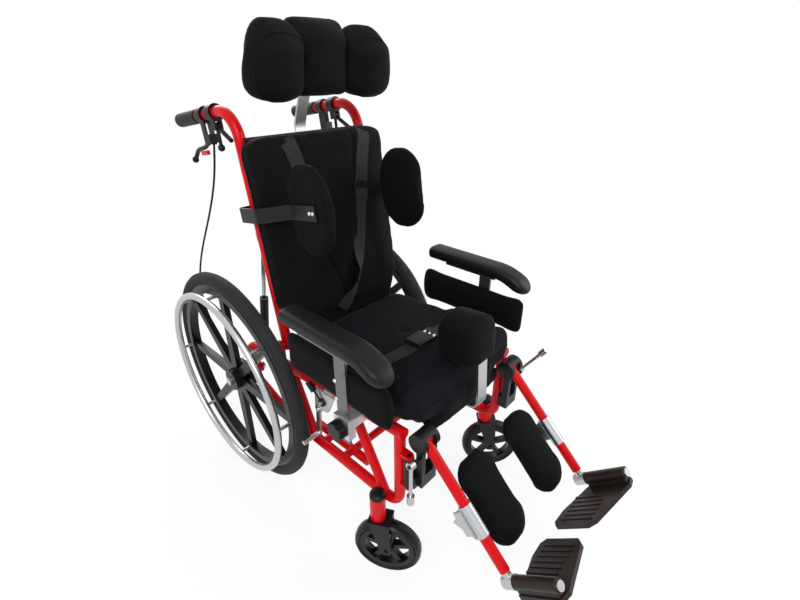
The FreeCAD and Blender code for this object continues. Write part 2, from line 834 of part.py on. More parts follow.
def back_canes():
    """Canes with push handles, cross bars, headrest socket and strut brackets."""
    x = -size.cane_x
    points = [
        back_point(x, 0, -14),
        back_point(x, 0, size.cane_height),
        back_point(x, size.handle_length, size.cane_height),
    ]
    cane = tube("cane", points, [size.handle_bend], "cane_tube / 2")
    bracket_x = -size.strut_x - size.strut_eye / 2 - size.pass_gap
    bracket_points = [
        Vector(bracket_x, 0, size.strut_top_up - 22),
        Vector(bracket_x, size.strut_top_behind + 10, size.strut_top_up - 10),
        Vector(bracket_x, size.strut_top_behind + 10, size.strut_top_up + 10),
        Vector(bracket_x, 0, size.strut_top_up + 22),
    ]
    bracket_points = [on_back.multVec(point) for point in bracket_points]
    bracket = plate("strut_bracket", bracket_points, Vector(-4, 0, 0))
    right = fuse("cane_right", [cane, bracket])
    solids = [right, mirrored("cane_left", right)]
    for name, up in (("lower", size.lower_bar_up), ("upper", size.upper_bar_up)):
        start = back_point(x, 0, up)
        solids.append(cylinder(f"{name}_back_bar", start, ALONG_X, "back_bar / 2", "2 * cane_x"))
    half = size.stem_width / 2 + 6
    deep = size.stem_thick / 2 + 6
    up = size.upper_bar_up
    low = Vector(-half, 4, up - 22)
    socket = block("stem_socket", low, Vector(half, size.stem_behind + deep, up + 22), on_back)
    slot_half = Vector(size.stem_width / 2 + 0.3, size.stem_thick / 2 + 0.3, 23)
    slot_centre = Vector(0, size.stem_behind, up)
    slot = block("stem_slot", slot_centre - slot_half, slot_centre + slot_half, on_back)
    bore_start = place(-size.frame_x, size.pivot_ahead, size.pivot_z)
    bore = cylinder("cane_bore", bore_start, ALONG_X, "pivot_pin_d / 2 + pin_gap", "2 * frame_x")
    return cut("canes", fuse("canes_raw", solids + [socket]), group("cane_tools", [slot, bore]))


board_front = size.cane_tube / 2 + 0.3 + size.board_thick


def back_board():
    """Board in front of the canes with the guides of the lateral supports behind it."""
    half = size.board_width / 2
    low = Vector(-half, -board_front, size.board_bottom)
    solids = [block("board", low, Vector(half, size.board_thick - board_front, size.board_top), on_back)]
    slots = []
    bar_half = size.lateral_bar / 2
    for side in (-1, 1):
        middle = Vector(side * 107, 0, size.lateral_up)
        low = middle + Vector(-23, -board_front, -bar_half - 6)
        high = middle + Vector(23, lateral_behind + 6, bar_half + 6)
        solids.append(block(f"guide_{side + 1}", low, high, on_back))
        thin = size.lateral_bar_thick / 2 + 0.3
        slot_low = middle + Vector(-24, lateral_behind - thin, -bar_half - 0.3)
        slot_high = middle + Vector(24, lateral_behind + thin, bar_half + 0.3)
        slots.append(block(f"guide_slot_{side + 1}", slot_low, slot_high, on_back))
    return cut("board_guides", fuse("board_raw", solids), group("guide_slots", slots))


lateral_behind = 15.0
back_length = size.back_top - size.back_bottom
back_middle = (size.back_top + size.back_bottom) / 2
on_cushion = on_back.multiply(Placement(Vector(0, -board_front - 0.3, back_middle), FACE_UP))


def back_cushion():
    """Back cushion with crowned front and rounded corners."""
    shape = cushion(size.back_width, back_length, size.back_edge, size.back_crown, size.back_corner)
    return shape_piece("back_pad", shape, on_cushion)


def back_front(x):
    """Height of the back cushion's front over its sole, across its straight part."""
    half = size.back_width / 2 - 4
    return size.back_edge + size.back_crown * (1 - (x / half) ** 2)


def harness_straps():
    """Two shoulder straps lying on the back cushion, drawn together downwards."""
    parts = []
    for side in (-1, 1):
        stops = []
        for x, up in ((78, 172), (70, 60), (58, -60), (44, -170)):
            stops.append((Vector(side * x, up, back_front(x) + size.strap_lift), ALONG_X, ALONG_Z))
        parts.append(ribbon(f"strap_{side + 1}", stops, size.strap_width, size.strap_thick, on_cushion))
    return group("straps", parts)


def handle_grips():
    """Rubber sleeves over the ends of the push handles."""
    start = back_point(-size.cane_x, size.handle_length + 5, size.cane_height)
    sleeve = cylinder("grip_sleeve", start, BACK_BEHIND * -1, "grip_d / 2", "grip_length")
    bore_start = back_point(-size.cane_x, size.handle_length + 0.3, size.cane_height)
    bore = cylinder("grip_bore", bore_start, BACK_BEHIND * -1, "cane_tube / 2 + 0.1", "grip_length")
    right = cut("grip", sleeve, bore)
    return group("grips", [right, mirrored("grip_left", right)])


def clamp_band(name, behind):
    """Band round the handle tube."""
    start = back_point(-size.cane_x, behind - size.clamp_width / 2, size.cane_height)
    return cylinder(name, start, BACK_BEHIND, "clamp_d / 2", "clamp_width")


def hand_mount(name, behind, pivot_up):
    """Band with two cheeks and a pivot pin for a hand lever."""
    band = clamp_band(f"{name}_band", behind)
    solids = [band]
    for side in (-1, 1):
        near = side * cheek_gap
        far = side * (cheek_gap + 4)
        low = Vector(-size.cane_x + min(near, far), behind - 9, pivot_up - 9)
        high = Vector(-size.cane_x + max(near, far), behind + 9, size.cane_height - 8)
        solids.append(block(f"{name}_cheek_{side + 1}", low, high, on_back))
    pin_start = back_point(-size.cane_x - cheek_gap - 4, behind, pivot_up)
    pin = cylinder(f"{name}_pin", pin_start, ALONG_X, "brake_pin_d / 2", "brake_pin_d + 14")
    return fuse(name, solids + [pin])


cheek_gap = 6.0


def lever_clamps():
    """Clamps of the brake and recline levers on both handles."""
    stop_low = Vector(-size.cane_x - cheek_gap - 4, size.clamp_behind - 19, size.brake_pivot_up - 6)
    stop_high = Vector(-size.cane_x + cheek_gap + 4, size.clamp_behind - 8.5, size.brake_pivot_up + 14)
    cable_stop = block("cable_stop", stop_low, stop_high, on_back)
    mount = hand_mount("brake_levers_mount", size.clamp_behind, size.brake_pivot_up)
    brake = fuse("brake_mount", [mount, cable_stop])
    recline = hand_mount("recline_mount", size.recline_clamp_behind, size.recline_pivot_up)
    tube_start = back_point(-size.cane_x, 0, size.cane_height)
    bore = cylinder("clamp_bore", tube_start, BACK_BEHIND, "cane_tube / 2 + 0.1", "handle_length")
    right_parts = [cut("brake_clamp", brake, bore), cut("recline_clamp", recline, bore)]
    return group("clamps", right_parts + [mirrored(f"{part.Name}_left", part) for part in right_parts])


def brake_lever():
    """Curved brake lever with ball end, and the park latch under it."""
    pivot = Vector(-size.cane_x, size.clamp_behind, size.brake_pivot_up)
    path = [Vector(0, 0, 0), Vector(0, 34, -12), Vector(0, 76, -16), Vector(0, 108, -38)]
    points = [on_back.multVec(pivot + step) for step in path]
    rod = tube("brake_rod", points, [40, 40], "lever_rod / 2")
    hub_start = back_point(-size.cane_x - cheek_gap + 0.4, size.clamp_behind, size.brake_pivot_up)
    hub = cylinder("brake_hub", hub_start, ALONG_X, "brake_pin_d / 2 + 5", "brake_pin_d + 5.2")
    end = ball("brake_ball", points[-1], "lever_rod / 2 + 3")
    bore = cylinder("brake_hub_bore", hub_start, ALONG_X, "brake_pin_d / 2 + pin_gap", "brake_pin_d + 5.2")
    lever = cut("brake_arm", fuse("brake_arm_raw", [rod, hub, end]), bore)
    low = pivot + Vector(-4, 26, -30)
    latch = block("park_latch", low, low + Vector(8, 30, 10.5), on_back)
    return group("brake_lever_set", [lever, latch])


def recline_lever():
    """Short lever with ball end that frees the gas strut."""
    pivot = Vector(-size.cane_x, size.recline_clamp_behind, size.recline_pivot_up)
    points = [on_back.multVec(pivot + step) for step in (Vector(0, 0, 0), Vector(0, 4, -46))]
    blade_points = [on_back.multVec(pivot + step) for step in (Vector(0, 0, 0), Vector(0, -50, -34))]
    rod = bar("recline_rod", points[0], points[1], "lever_rod / 2 - 1")
    blade = bar("recline_blade", blade_points[0], blade_points[1], "lever_rod / 2")
    hub_start = back_point(-size.cane_x - cheek_gap + 0.4, size.recline_clamp_behind, size.recline_pivot_up)
    hub = cylinder("recline_hub", hub_start, ALONG_X, "brake_pin_d / 2 + 5", "brake_pin_d + 5.2")
    end = ball("recline_ball", points[1], "lever_rod / 2 + 3")
    bore = cylinder("recline_hub_bore", hub_start, ALONG_X, "brake_pin_d / 2 + pin_gap", "brake_pin_d + 5.2")
    return cut("recline_arm", fuse("recline_arm_raw", [rod, blade, hub, end]), bore)


strut_foot = place(-size.strut_x, size.strut_foot_ahead, size.strut_foot_z)
strut_top = back_point(-size.strut_x, size.strut_top_behind, size.strut_top_up)
strut_way = (strut_top - strut_foot).normalize()


def strut_eye(name, centre, bored):
    """Eye along X at one end of the strut."""
    start = centre - ALONG_X * (size.strut_eye / 2)
    eye = cylinder(name, start, ALONG_X, "strut_pin_d / 2 + 4", "strut_eye")
    if not bored:
        return eye
    return eye, cylinder(f"{name}_bore", start, ALONG_X, "strut_pin_d / 2 + pin_gap", "strut_eye")


def strut_cylinders():
    """Barrels of the gas struts, bored for their rods, with an eye on the frame's pin."""
    eye, eye_bore = strut_eye("barrel_eye", strut_foot, True)
    start = strut_foot + strut_way * 8
    barrel = cylinder("barrel", start, strut_way, "strut_barrel_d / 2", "strut_barrel_length")
    bore_start = strut_foot + strut_way * 14
    bore = cylinder("barrel_bore", bore_start, strut_way, "strut_rod_d / 2 + pin_gap", "strut_barrel_length")
    right = cut("barrel_right", fuse("barrel_raw", [eye, barrel]), group("barrel_tools", [eye_bore, bore]))
    return group("barrels", [right, mirrored("barrel_left", right)])


def strut_rods():
    """Rods of the gas struts with their upper eyes."""
    eye = strut_eye("rod_eye", strut_top, False)
    rod = cylinder("rod", strut_top, strut_way * -1, "strut_rod_d / 2", "strut_rod_length")
    right = fuse("rod_right", [eye, rod])
    return group("rods", [right, mirrored("rod_left", right)])


def headrest_stem():
    """Flat bar through the socket, bent forwards to the headrest's hinge."""
    path = [
        Vector(0, size.stem_behind, size.stem_foot_up),
        Vector(0, size.stem_behind, size.stem_bend_up),
        Vector(0, -size.head_hinge_ahead, head_hinge_up),
    ]
    points = [on_back.multVec(point) for point in path]
    blade = strip("stem_blade", points, [40], size.stem_width, size.stem_thick, ALONG_X)
    eye_start = points[-1] - ALONG_X * (size.stem_width / 2)
    eye = cylinder("stem_eye", eye_start, ALONG_X, "head_pin_d / 2 + 4", "stem_width")
    bore = cylinder("stem_eye_bore", eye_start, ALONG_X, "head_pin_d / 2 + pin_gap", "stem_width")
    return cut("stem", fuse("stem_raw", [blade, eye]), bore)


head_plate_ahead = size.head_hinge_ahead + 18


def headrest():
    """Bent plate on the stem's hinge with a centre pad and two wings turned forwards."""
    turn = math.radians(size.wing_turn)
    reach = 100.0
    tip_x = size.wing_root + reach * math.cos(turn)
    tip = Vector(tip_x, -head_plate_ahead - reach * math.sin(turn), size.head_up)
    path = [
        Vector(-tip.x, tip.y, tip.z),
        Vector(-size.wing_root, -head_plate_ahead, size.head_up),
        Vector(size.wing_root, -head_plate_ahead, size.head_up),
        tip,
    ]
    points = [on_back.multVec(point) for point in path]
    back = strip("head_strip", points, [30, 30], 60, size.head_plate, BACK_UP)
    hinge = Vector(0, -size.head_hinge_ahead, head_hinge_up)
    solids = [back]
    ear_start = size.stem_width / 2 + size.pass_gap
    for side in (-1, 1):
        near = min(side * ear_start, side * (ear_start + 5))
        low = hinge + Vector(near, -18, -8)
        solids.append(block(f"head_ear_{side + 1}", low, hinge + Vector(near + 5, 8, 8), on_back))
    pin_start = on_back.multVec(hinge) - ALONG_X * (ear_start + 5)
    pin_length = "stem_width + 10 + 2 * pass_gap"
    solids.append(cylinder("head_pin", pin_start, ALONG_X, "head_pin_d / 2", pin_length))
    carrier = fuse("head_carrier", solids)
    sole = head_plate_ahead + size.head_plate / 2 + 0.3
    centre_edge = size.head_thick - size.head_crown
    centre_shape = cushion(size.head_width, size.head_height, centre_edge, size.head_crown, size.head_corner)
    centre_at = Placement(Vector(0, -sole, size.head_up), FACE_UP)
    centre = shape_piece("head_centre", centre_shape, on_back.multiply(centre_at))
    wing_edge = size.wing_thick - size.wing_crown
    wing_shape = cushion(size.wing_width, size.head_height, wing_edge, size.wing_crown, size.wing_corner)
    wing_corner = Vector(-size.wing_root, -head_plate_ahead, size.head_up)
    wing_sole = Vector(-size.wing_gap - size.wing_width / 2, -size.head_plate / 2 - 0.3, 0)
    corner_at = Placement(wing_corner, Rotation(ALONG_Z, size.wing_turn))
    wing_at = corner_at.multiply(Placement(wing_sole, FACE_UP))
    wing = shape_piece("head_wing", wing_shape, on_back.multiply(wing_at))
    return group("head_set", [carrier, centre, wing, mirrored("head_wing_left", wing)])


def lateral_support():
    """Bent flat bar from behind the board round the cane, with an oval pad."""
    pad_back = -size.lateral_x - size.lateral_thick / 2
    bar_x = pad_back - size.lateral_bar_thick / 2
    path = [
        Vector(-62, lateral_behind, size.lateral_up),
        Vector(-size.lateral_out, lateral_behind, size.lateral_up),
        Vector(-size.lateral_out, -62, size.lateral_up),
        Vector(bar_x, -104, size.lateral_up),
        Vector(bar_x, -size.lateral_ahead - 34, size.lateral_up),
    ]
    points = [on_back.multVec(point) for point in path]
    arm = strip("lateral_arm", points, [12, 20, 20], size.lateral_bar, size.lateral_bar_thick, BACK_UP)
    shape = cushion(size.lateral_height, size.lateral_length, size.lateral_thick - 12, 12, 66)
    at = Placement(Vector(pad_back + 0.3, -size.lateral_ahead, size.lateral_up), FACE_IN)
    pad = shape_piece("lateral_pad", shape, on_back.multiply(at))
    return group("lateral_set", [arm, pad])


arm_sole_z = size.arm_top_z - size.arm_height


def armrest_post():
    """Flat post with the plate that carries the arm pad."""
    y = size.axle_y - size.post_ahead
    half = size.post_width / 2
    low = Vector(panel_outer_x - size.post_thick, y - half, size.post_foot_z)
    stem = block("post_stem", low, Vector(panel_outer_x, y + half, arm_sole_z))
    top_low = Vector(-size.arm_x - 20, y - 40, arm_sole_z - 4)
    top = block("post_top", top_low, Vector(-size.arm_x + 20, y + 110, arm_sole_z))
    return fuse("post", [stem, top])


def armrest_pad():
    """Moulded arm pad with a drooping front end."""
    middle_z = (size.arm_top_z + arm_sole_z) / 2
    x = -size.arm_x
    bend = size.arm_front - 54
    points = [place(x, size.arm_rear, middle_z), place(x, bend, middle_z)]
    points.append(place(x, size.arm_front, middle_z - size.arm_droop))
    half = Vector(size.arm_width / 2, 0, size.arm_height / 2)
    soft = 9.0
    start = points[0]
    corners = [(1, 1), (-1, 1), (-1, -1), (1, -1)]
    ring_points = [start + Vector(sx * half.x, 0, sz * half.z) for sx, sz in corners]
    seam_point = (ring_points[3] + ring_points[0]) / 2
    ring_points = [seam_point] + ring_points + [seam_point]
    profile = shape_piece("arm_pad_profile", rounded_path(ring_points, [soft] * 4))
    return swept("arm_pad", rounded_path(points, [size.arm_droop_radius]), profile)


def side_panel():
    """Padded panel inside the post, crowned towards the seat."""
    height = size.panel_top_z - size.panel_bottom_z
    shape = cushion(height, size.panel_front - size.panel_rear, size.panel_edge, size.panel_crown, 24)
    middle = place(
        panel_outer_x,
        (size.panel_front + size.panel_rear) / 2,
        (size.panel_top_z + size.panel_bottom_z) / 2,
    )
    return shape_piece("panel", shape, Placement(middle, FACE_IN))


def armrest_knob():
    """Fluted knob whose stud reaches through the socket's outer wall."""
    z = size.socket_foot_z + size.socket_height / 2
    wall_x = panel_outer_x - size.post_thick - 0.3 - size.socket_wall
    start = place(wall_x - size.pass_gap, size.post_ahead, z)
    outward = Vector(-1, 0, 0)
    head = cylinder("knob_head", start, outward, "knob_d / 2", "knob_thick")
    stud_end = start + ALONG_X * (size.socket_wall + size.pass_gap)
    stud = bar("knob_stud", start, stud_end, "knob_stud_d / 2")
    flutes = []
    for number in range(6):
        angle = number * math.pi / 3
        spot = start + Vector(0, math.cos(angle), math.sin(angle)) * (size.knob_d / 2 + 1)
        flutes.append(cylinder(f"flute_{number}", spot, outward, "knob_d / 8", "knob_thick"))
    return cut("knob", fuse("knob_raw", [head, stud]), group("flutes", flutes))


def rear_wheel():
    """Spoked wheel with drum, built about its own centre."""
    bore = size.axle_d / 2 + size.pin_gap
    half = size.hub_length / 2
    drum_r = size.drum_d / 2
    hub_r = size.hub_d / 2
    step = half - size.drum_depth
    hub = [(-half, bore), (half, bore), (half, drum_r), (step, drum_r), (step, hub_r), (-half, hub_r)]
    seat_r = size.wheel_d / 2 - size.tyre_depth
    rim_r = seat_r - size.rim_depth
    wide = size.rim_width / 2
    rim = [(-wide, rim_r), (wide, rim_r), (wide, seat_r - 5), (wide - 3, seat_r)]
    rim += [(3 - wide, seat_r), (-wide, seat_r - 5)]
    root = size.spoke_root / 2
    tip = size.spoke_tip / 2
    spoke = [(-root, hub_r - 4), (root, hub_r - 4), (tip, rim_r + 5), (-tip, rim_r + 5)]
    body = spoked_wheel("wheel", hub, rim, spoke, size.spoke_thick, "spoke_count")
    body.Placement = Placement(place(-size.wheel_x, 0, axle_z), Rotation())
    return body


def tyre_outline(outer, depth, width, gap):
    """Rounded tread section on a flat seat."""
    seat = outer - depth + gap
    half = width / 2
    return [
        (-0.7 * half, seat),
        (0.7 * half, seat),
        (half, outer - 0.62 * depth),
        (half, outer - 0.42 * depth),
        (0.72 * half, outer - 0.14 * depth),
        (0.3 * half, outer),
        (-0.3 * half, outer),
        (-0.72 * half, outer - 0.14 * depth),
        (-half, outer - 0.42 * depth),
        (-half, outer - 0.62 * depth),
    ]


def rear_tyre():
    outline = tyre_outline(size.wheel_d / 2, size.tyre_depth, size.tyre_width, 0.3)
    body = ring("tyre", outline)
    body.Placement = Placement(place(-size.wheel_x, 0, axle_z), Rotation())
    return body


def handrim():
    """Push ring with standoffs to the rim's outer face."""
    x = -size.wheel_x - size.handrim_offset
    standoff_r = size.wheel_d / 2 - size.handrim_inset + size.standoff_out
    hoop = doc.addObject("Part::Torus", "hoop")
    bind(hoop, Radius1="wheel_d / 2 - handrim_inset", Radius2="handrim_tube / 2")
    hoop.Placement = Placement(place(x, 0, axle_z), turned(ALONG_X))
    solids = [hoop]
    count = int(size.spoke_count)
    for number in range(count):
        angle = 2 * math.pi * number / count
        spoke_way = Vector(0, math.sin(angle), math.cos(angle))
        spot = place(x, 0, axle_z) + spoke_way * standoff_r
        length = "handrim_offset - rim_width / 2"
        solids.append(cylinder(f"standoff_{number}", spot, ALONG_X, "standoff_d / 2", length))
    return fuse("push_ring", solids)


fork_inner = size.caster_width / 2 + size.fork_side_gap
crown_top = housing_z - size.pass_gap


def caster_fork(side, turn):
    """Fork with stem and axle, turned about its stem."""
    at = Placement(place(side * size.caster_x, size.caster_ahead, 0), Rotation(ALONG_Z, turn))
    fork_outer = fork_inner + size.fork_plate
    axle_height = size.caster_d / 2
    crown_low = crown_top - size.fork_crown
    name = f"fork_{side + 1}"
    crown = block(
        f"{name}_crown",
        Vector(-fork_outer, -size.caster_trail - 10, crown_low),
        Vector(fork_outer, 20, crown_top),
        at,
    )
    solids = [crown]
    trail = -size.caster_trail
    outline = [(18, crown_top), (trail - 8, crown_top)]
    outline += [(trail - 13, axle_height + 4), (trail - 9, axle_height - 9)]
    outline += [(trail + 9, axle_height - 9), (trail + 14, axle_height + 6)]
    for cheek in (-1, 1):
        points = [at.multVec(Vector(cheek * fork_inner, y, z)) for y, z in outline]
        thick = at.Rotation.multVec(ALONG_X * (cheek * size.fork_plate))
        solids.append(plate(f"{name}_cheek_{cheek + 1}", points, thick))
    axle_start = at.multVec(Vector(-fork_outer - 3, trail, axle_height))
    axle_end = at.multVec(Vector(fork_outer + 3, trail, axle_height))
    solids.append(bar(f"{name}_axle", axle_start, axle_end, "caster_axle_d / 2"))
    stem_foot = at.multVec(Vector(0, 0, crown_top))
    solids.append(cylinder(f"{name}_stem", stem_foot, ALONG_Z, "stem_d / 2", "stem_length"))
    return fuse(name, solids)


def caster_wheel(side, turn):
    """Spoked caster wheel and its solid tyre, turned with the fork."""
    at = Placement(place(side * size.caster_x, size.caster_ahead, 0), Rotation(ALONG_Z, turn))
    centre = at.multVec(Vector(0, -size.caster_trail, size.caster_d / 2))
    name = f"caster_{side + 1}"
    bore = size.caster_axle_d / 2 + size.pin_gap
    hub_r = size.caster_hub_d / 2
    half = fork_inner - size.pass_gap
    hub = [(-half, bore), (half, bore), (half, hub_r), (-half, hub_r)]
    seat_r = size.caster_d / 2 - size.caster_tread
    rim_r = seat_r - 12
    wide = size.caster_width / 2 - 3
    rim = [(-wide, rim_r), (wide, rim_r), (wide, seat_r), (-wide, seat_r)]
    arm = size.caster_spoke / 2
    spoke = [(-arm, hub_r - 4), (arm, hub_r - 4), (arm, rim_r + 3), (-arm, rim_r + 3)]
    wheel = spoked_wheel(f"{name}_wheel", hub, rim, spoke, 2 * wide - 8, "caster_spokes")
    tyre = ring(f"{name}_tyre", tyre_outline(size.caster_d / 2, size.caster_tread, size.caster_width, 0.3))
    for body in (wheel, tyre):
        body.Placement = Placement(centre, Rotation(ALONG_Z, turn))
    return group(f"{name}_set", [wheel, tyre])


def hanger():
    """Swing-away hanger: hinge barrel with pins, yoke and knee hood."""
    x = -size.frame_x
    pin_foot = place(x, hinge_ahead, size.lower_lug_z)
    pin_top = place(x, hinge_ahead, size.upper_lug_z + size.lug_thick)
    pin = bar("hinge_pin", pin_foot, pin_top, "hinge_pin_d / 2")
    barrel_foot = place(x, hinge_ahead, size.lower_lug_z + size.lug_thick + size.pass_gap)
    barrel_top = place(x, hinge_ahead, size.upper_lug_z - size.pass_gap)
    barrel = bar("hinge_barrel", barrel_foot, barrel_top, "hinge_pin_d / 2 + 6")
    half = size.hood_width / 2
    foot_z = size.knee_z - size.yoke_foot_drop
    base_z = foot_z + size.yoke_base_height
    arm_front = size.knee_ahead + size.yoke_arm_front
    arm_back = arm_front - size.yoke_arm_depth
    base_front = max(hinge_ahead + 23, arm_back + 9)
    base_back = min(hinge_ahead + 4, arm_back)
    base_low = place(-size.leg_x - half, base_front, foot_z)
    base = block("yoke_base", base_low, place(-size.leg_x + half, base_back, base_z))
    web_low = place(x - 6, hinge_ahead + 20, foot_z)
    web = block("yoke_web", web_low, place(-size.leg_x - half, hinge_ahead, base_z))
    arms_low = place(-size.leg_x - half, arm_front, foot_z)
    arms = block("yoke_arms", arms_low, place(-size.leg_x + half, arm_back, size.knee_z))
    hood_start = place(-size.leg_x - half, size.knee_ahead, size.knee_z)
    hood = cylinder("knee_hood", hood_start, ALONG_X, "hood_d / 2", "hood_width")
    solid = fuse("hanger_raw", [pin, barrel, base, web, arms, hood])
    slot_half = size.knee_eye_width / 2 + size.pass_gap
    slot_low = place(-size.leg_x - slot_half, size.knee_ahead + 34, base_z)
    slot_high = place(-size.leg_x + slot_half, size.knee_ahead - 46, size.knee_z + 15)
    slot = block("knee_slot", slot_low, slot_high)
    knee_pin = cylinder("knee_pin", hood_start, ALONG_X, "knee_pin_d / 2", "hood_width")
    lever_pin_start = place(-size.leg_x - half, size.knee_ahead, size.leg_lever_z)
    lever_pin_end = place(-size.leg_lever_x - 8, size.knee_ahead + 6, size.leg_lever_z)
    lever_pin_start = Vector(lever_pin_start.x + 4, lever_pin_end.y, lever_pin_end.z)
    lever_pin = bar("leg_lever_pin", lever_pin_start, lever_pin_end, "lock_pin_d / 2")
    return fuse("hanger", [cut("hanger_slotted", solid, slot), knee_pin, lever_pin])


def leg_tube():
    """Upper leg tube with knee eye, hollow below for the extension."""
    eye_start = place(-size.leg_x - size.knee_eye_width / 2, size.knee_ahead, size.knee_z)
    eye = cylinder("knee_eye", eye_start, ALONG_X, "knee_eye_d / 2", "knee_eye_width")
    tube_end = leg_point(-size.leg_x, 0, leg_length)
    pipe = bar("leg_pipe", leg_point(-size.leg_x, 0, 0), tube_end, "leg_tube / 2")
    bore_start = leg_point(-size.leg_x, 0, size.leg_bore_start)
    bore = bar("leg_bore", bore_start, tube_end, "extension_tube / 2 + pin_gap")
    eye_bore = cylinder("knee_bore", eye_start, ALONG_X, "knee_pin_d / 2 + pin_gap", "knee_eye_width")
    return cut("leg", fuse("leg_raw", [eye, pipe]), group("leg_bores", [bore, eye_bore]))


calf_sole = 26.0


def calf_pad():
    """Calf pad on a bracket clamped round the leg tube."""
    x = -size.leg_x
    outer = size.leg_tube / 2 + size.sleeve_wall
    top = size.sleeve_top
    foot = top + size.sleeve_length
    sleeve = bar("calf_sleeve", leg_point(x, 0, top), leg_point(x, 0, foot), "leg_tube / 2 + sleeve_wall")
    low = Vector(x - outer, 4, -foot + 8)
    rib = block("calf_rib", low, Vector(x - outer + 5, calf_sole + 4.3, -top - 8), on_leg)
    back_low = Vector(x - outer, calf_sole + 0.3, -foot + 10)
    back = block("calf_plate", back_low, Vector(-size.calf_x + 30, calf_sole + 4.3, -top - 10), on_leg)
    ear_x = x - outer
    ear_points = [Vector(ear_x, 2, -top - 4), Vector(ear_x, 40, -top - 24), Vector(ear_x, 2, -foot + 4)]
    ear = plate("calf_ear", [on_leg.multVec(point) for point in ear_points], Vector(-4, 0, 0))
    bore = bar("calf_bore", leg_point(x, 0, top - 1), leg_point(x, 0, foot + 1), "leg_tube / 2 + 0.1")
    bracket = cut("calf_bracket", fuse("calf_bracket_raw", [sleeve, rib, back, ear]), bore)
    shape = cushion(size.calf_width, size.calf_length, size.calf_thick - 12, 12, 46)
    at = Placement(Vector(-size.calf_x, calf_sole, -size.calf_down), FACE_UP)
    pad = shape_piece("calf_cushion", shape, on_leg.multiply(at))
    return group("calf_set", [bracket, pad])


def leg_extension():
    """Sliding inner tube with the heel block and the footplate's pin."""
    x = -size.leg_x
    pipe_top = leg_point(x, 0, size.extension_top)
    pipe = bar("inner_pipe", pipe_top, leg_point(x, 0, size.foot_drop), "extension_tube / 2")
    heel_start = leg_point(x, 15, size.foot_drop)
    heel = bar("heel", heel_start, leg_point(x, -13, size.foot_drop), "barrel_d / 2 + 1")
    pin_end = leg_point(x, -size.foot_pin_length, size.foot_drop)
    pin = bar("foot_pin", heel_start, pin_end, "foot_pin_d / 2")
    cap_end = leg_point(x, -size.foot_pin_length - 4, size.foot_drop)
    cap = bar("foot_pin_cap", pin_end, cap_end, "foot_pin_d / 2 + 3")
    return fuse("extension", [pipe, heel, pin, cap])


def footplate():
    """Footplate with its hinge barrel and ribs for grip."""
    x = -size.leg_x
    near = -13 - size.pass_gap
    far = -size.foot_pin_length + size.pass_gap
    pin_near = leg_point(x, near, size.foot_drop)
    pin_far = leg_point(x, far, size.foot_drop)
    barrel = bar("foot_barrel", pin_near, pin_far, "barrel_d / 2")
    top = size.foot_drop + size.plate_drop
    web = block("foot_web", Vector(x - 9, far + 6, -top - 2), Vector(x + 9, near, -size.foot_drop), on_leg)
    outline = [(x - 12, near), (x - 12, far + 4), (x + 12, far - 2), (-34, -84), (-size.plate_inner_x, -70)]
    outline += [(-size.plate_inner_x, 12), (-34, 22), (-72, 20)]
    sole_points = [leg_point(px, py, top) for px, py in outline]
    sole = plate("foot_sole", sole_points, LEG_DOWN * size.plate_thick)
    ribs = []
    for number in range(6):
        low = Vector(-118 + number * 15, -72, -top)
        ribs.append(block(f"foot_rib_{number}", low, low + Vector(5, 78, 1.6), on_leg))
    bore = bar("foot_bore", pin_near, pin_far, "foot_pin_d / 2 + pin_gap")
    return cut("foot", fuse("foot_raw", [barrel, web, sole] + ribs), bore)


def leg_release_lever(side, turn):
    """Release lever on the hanger's outer pin; turn is its lean from straight up."""
    x = side * size.leg_lever_x
    name = f"release_{side + 1}"
    hub_point = place(x, size.knee_ahead + 6, size.leg_lever_z)
    way = Rotation(ALONG_X, turn).multVec(ALONG_Z)
    hub_start = hub_point - ALONG_X * 6
    hub = cylinder(f"{name}_hub", hub_start, ALONG_X, "lock_pin_d / 2 + 5", "lock_pin_d + 4")
    rod = bar(f"{name}_rod", hub_point, hub_point + way * size.leg_lever_length, "leg_lever_rod / 2")
    grip_start = hub_point + way * size.leg_lever_length
    grip = cylinder(f"{name}_grip", grip_start, way, "leg_lever_grip_d / 2", "leg_lever_grip")
    bore = cylinder(f"{name}_bore", hub_start, ALONG_X, "lock_pin_d / 2 + pin_gap", "lock_pin_d + 4")
    return cut(name, fuse(f"{name}_raw", [hub, rod, grip]), bore)


lock_x = -size.frame_x - tube_r - 1.5 - size.lock_plate - size.pass_gap


def wheel_lock_lever():
    """Hand lever of the wheel lock."""
    lean = math.radians(size.lock_lever_lean)
    hub_point = place(lock_x, size.lock_lever_ahead, size.lock_lever_z)
    outward = Vector(-1, 0, 0)
    hub = cylinder("lock_hub", hub_point, outward, "lock_pin_d / 2 + 6", "lock_plate - 1")
    start = hub_point + outward * 2.5
    upward = Vector(0, math.sin(lean), math.cos(lean))
    tip = start + upward * size.lock_lever_length + outward * 10
    way = (tip - start).normalize()
    rod = bar("lock_rod", start + way * 4, tip - way * 4, "lock_plate / 2 - 0.6")
    grip = bar("lock_grip", start + way * 34, tip, "lock_plate + 1")
    bore = cylinder("lock_hub_bore", hub_point, outward, "lock_pin_d / 2 + pin_gap", "lock_plate")
    return cut("lock_lever", fuse("lock_lever_raw", [hub, rod, grip]), bore)


shoe_open = size.wheel_d / 2 + size.lock_shoe_d / 2 + size.lock_open_gap


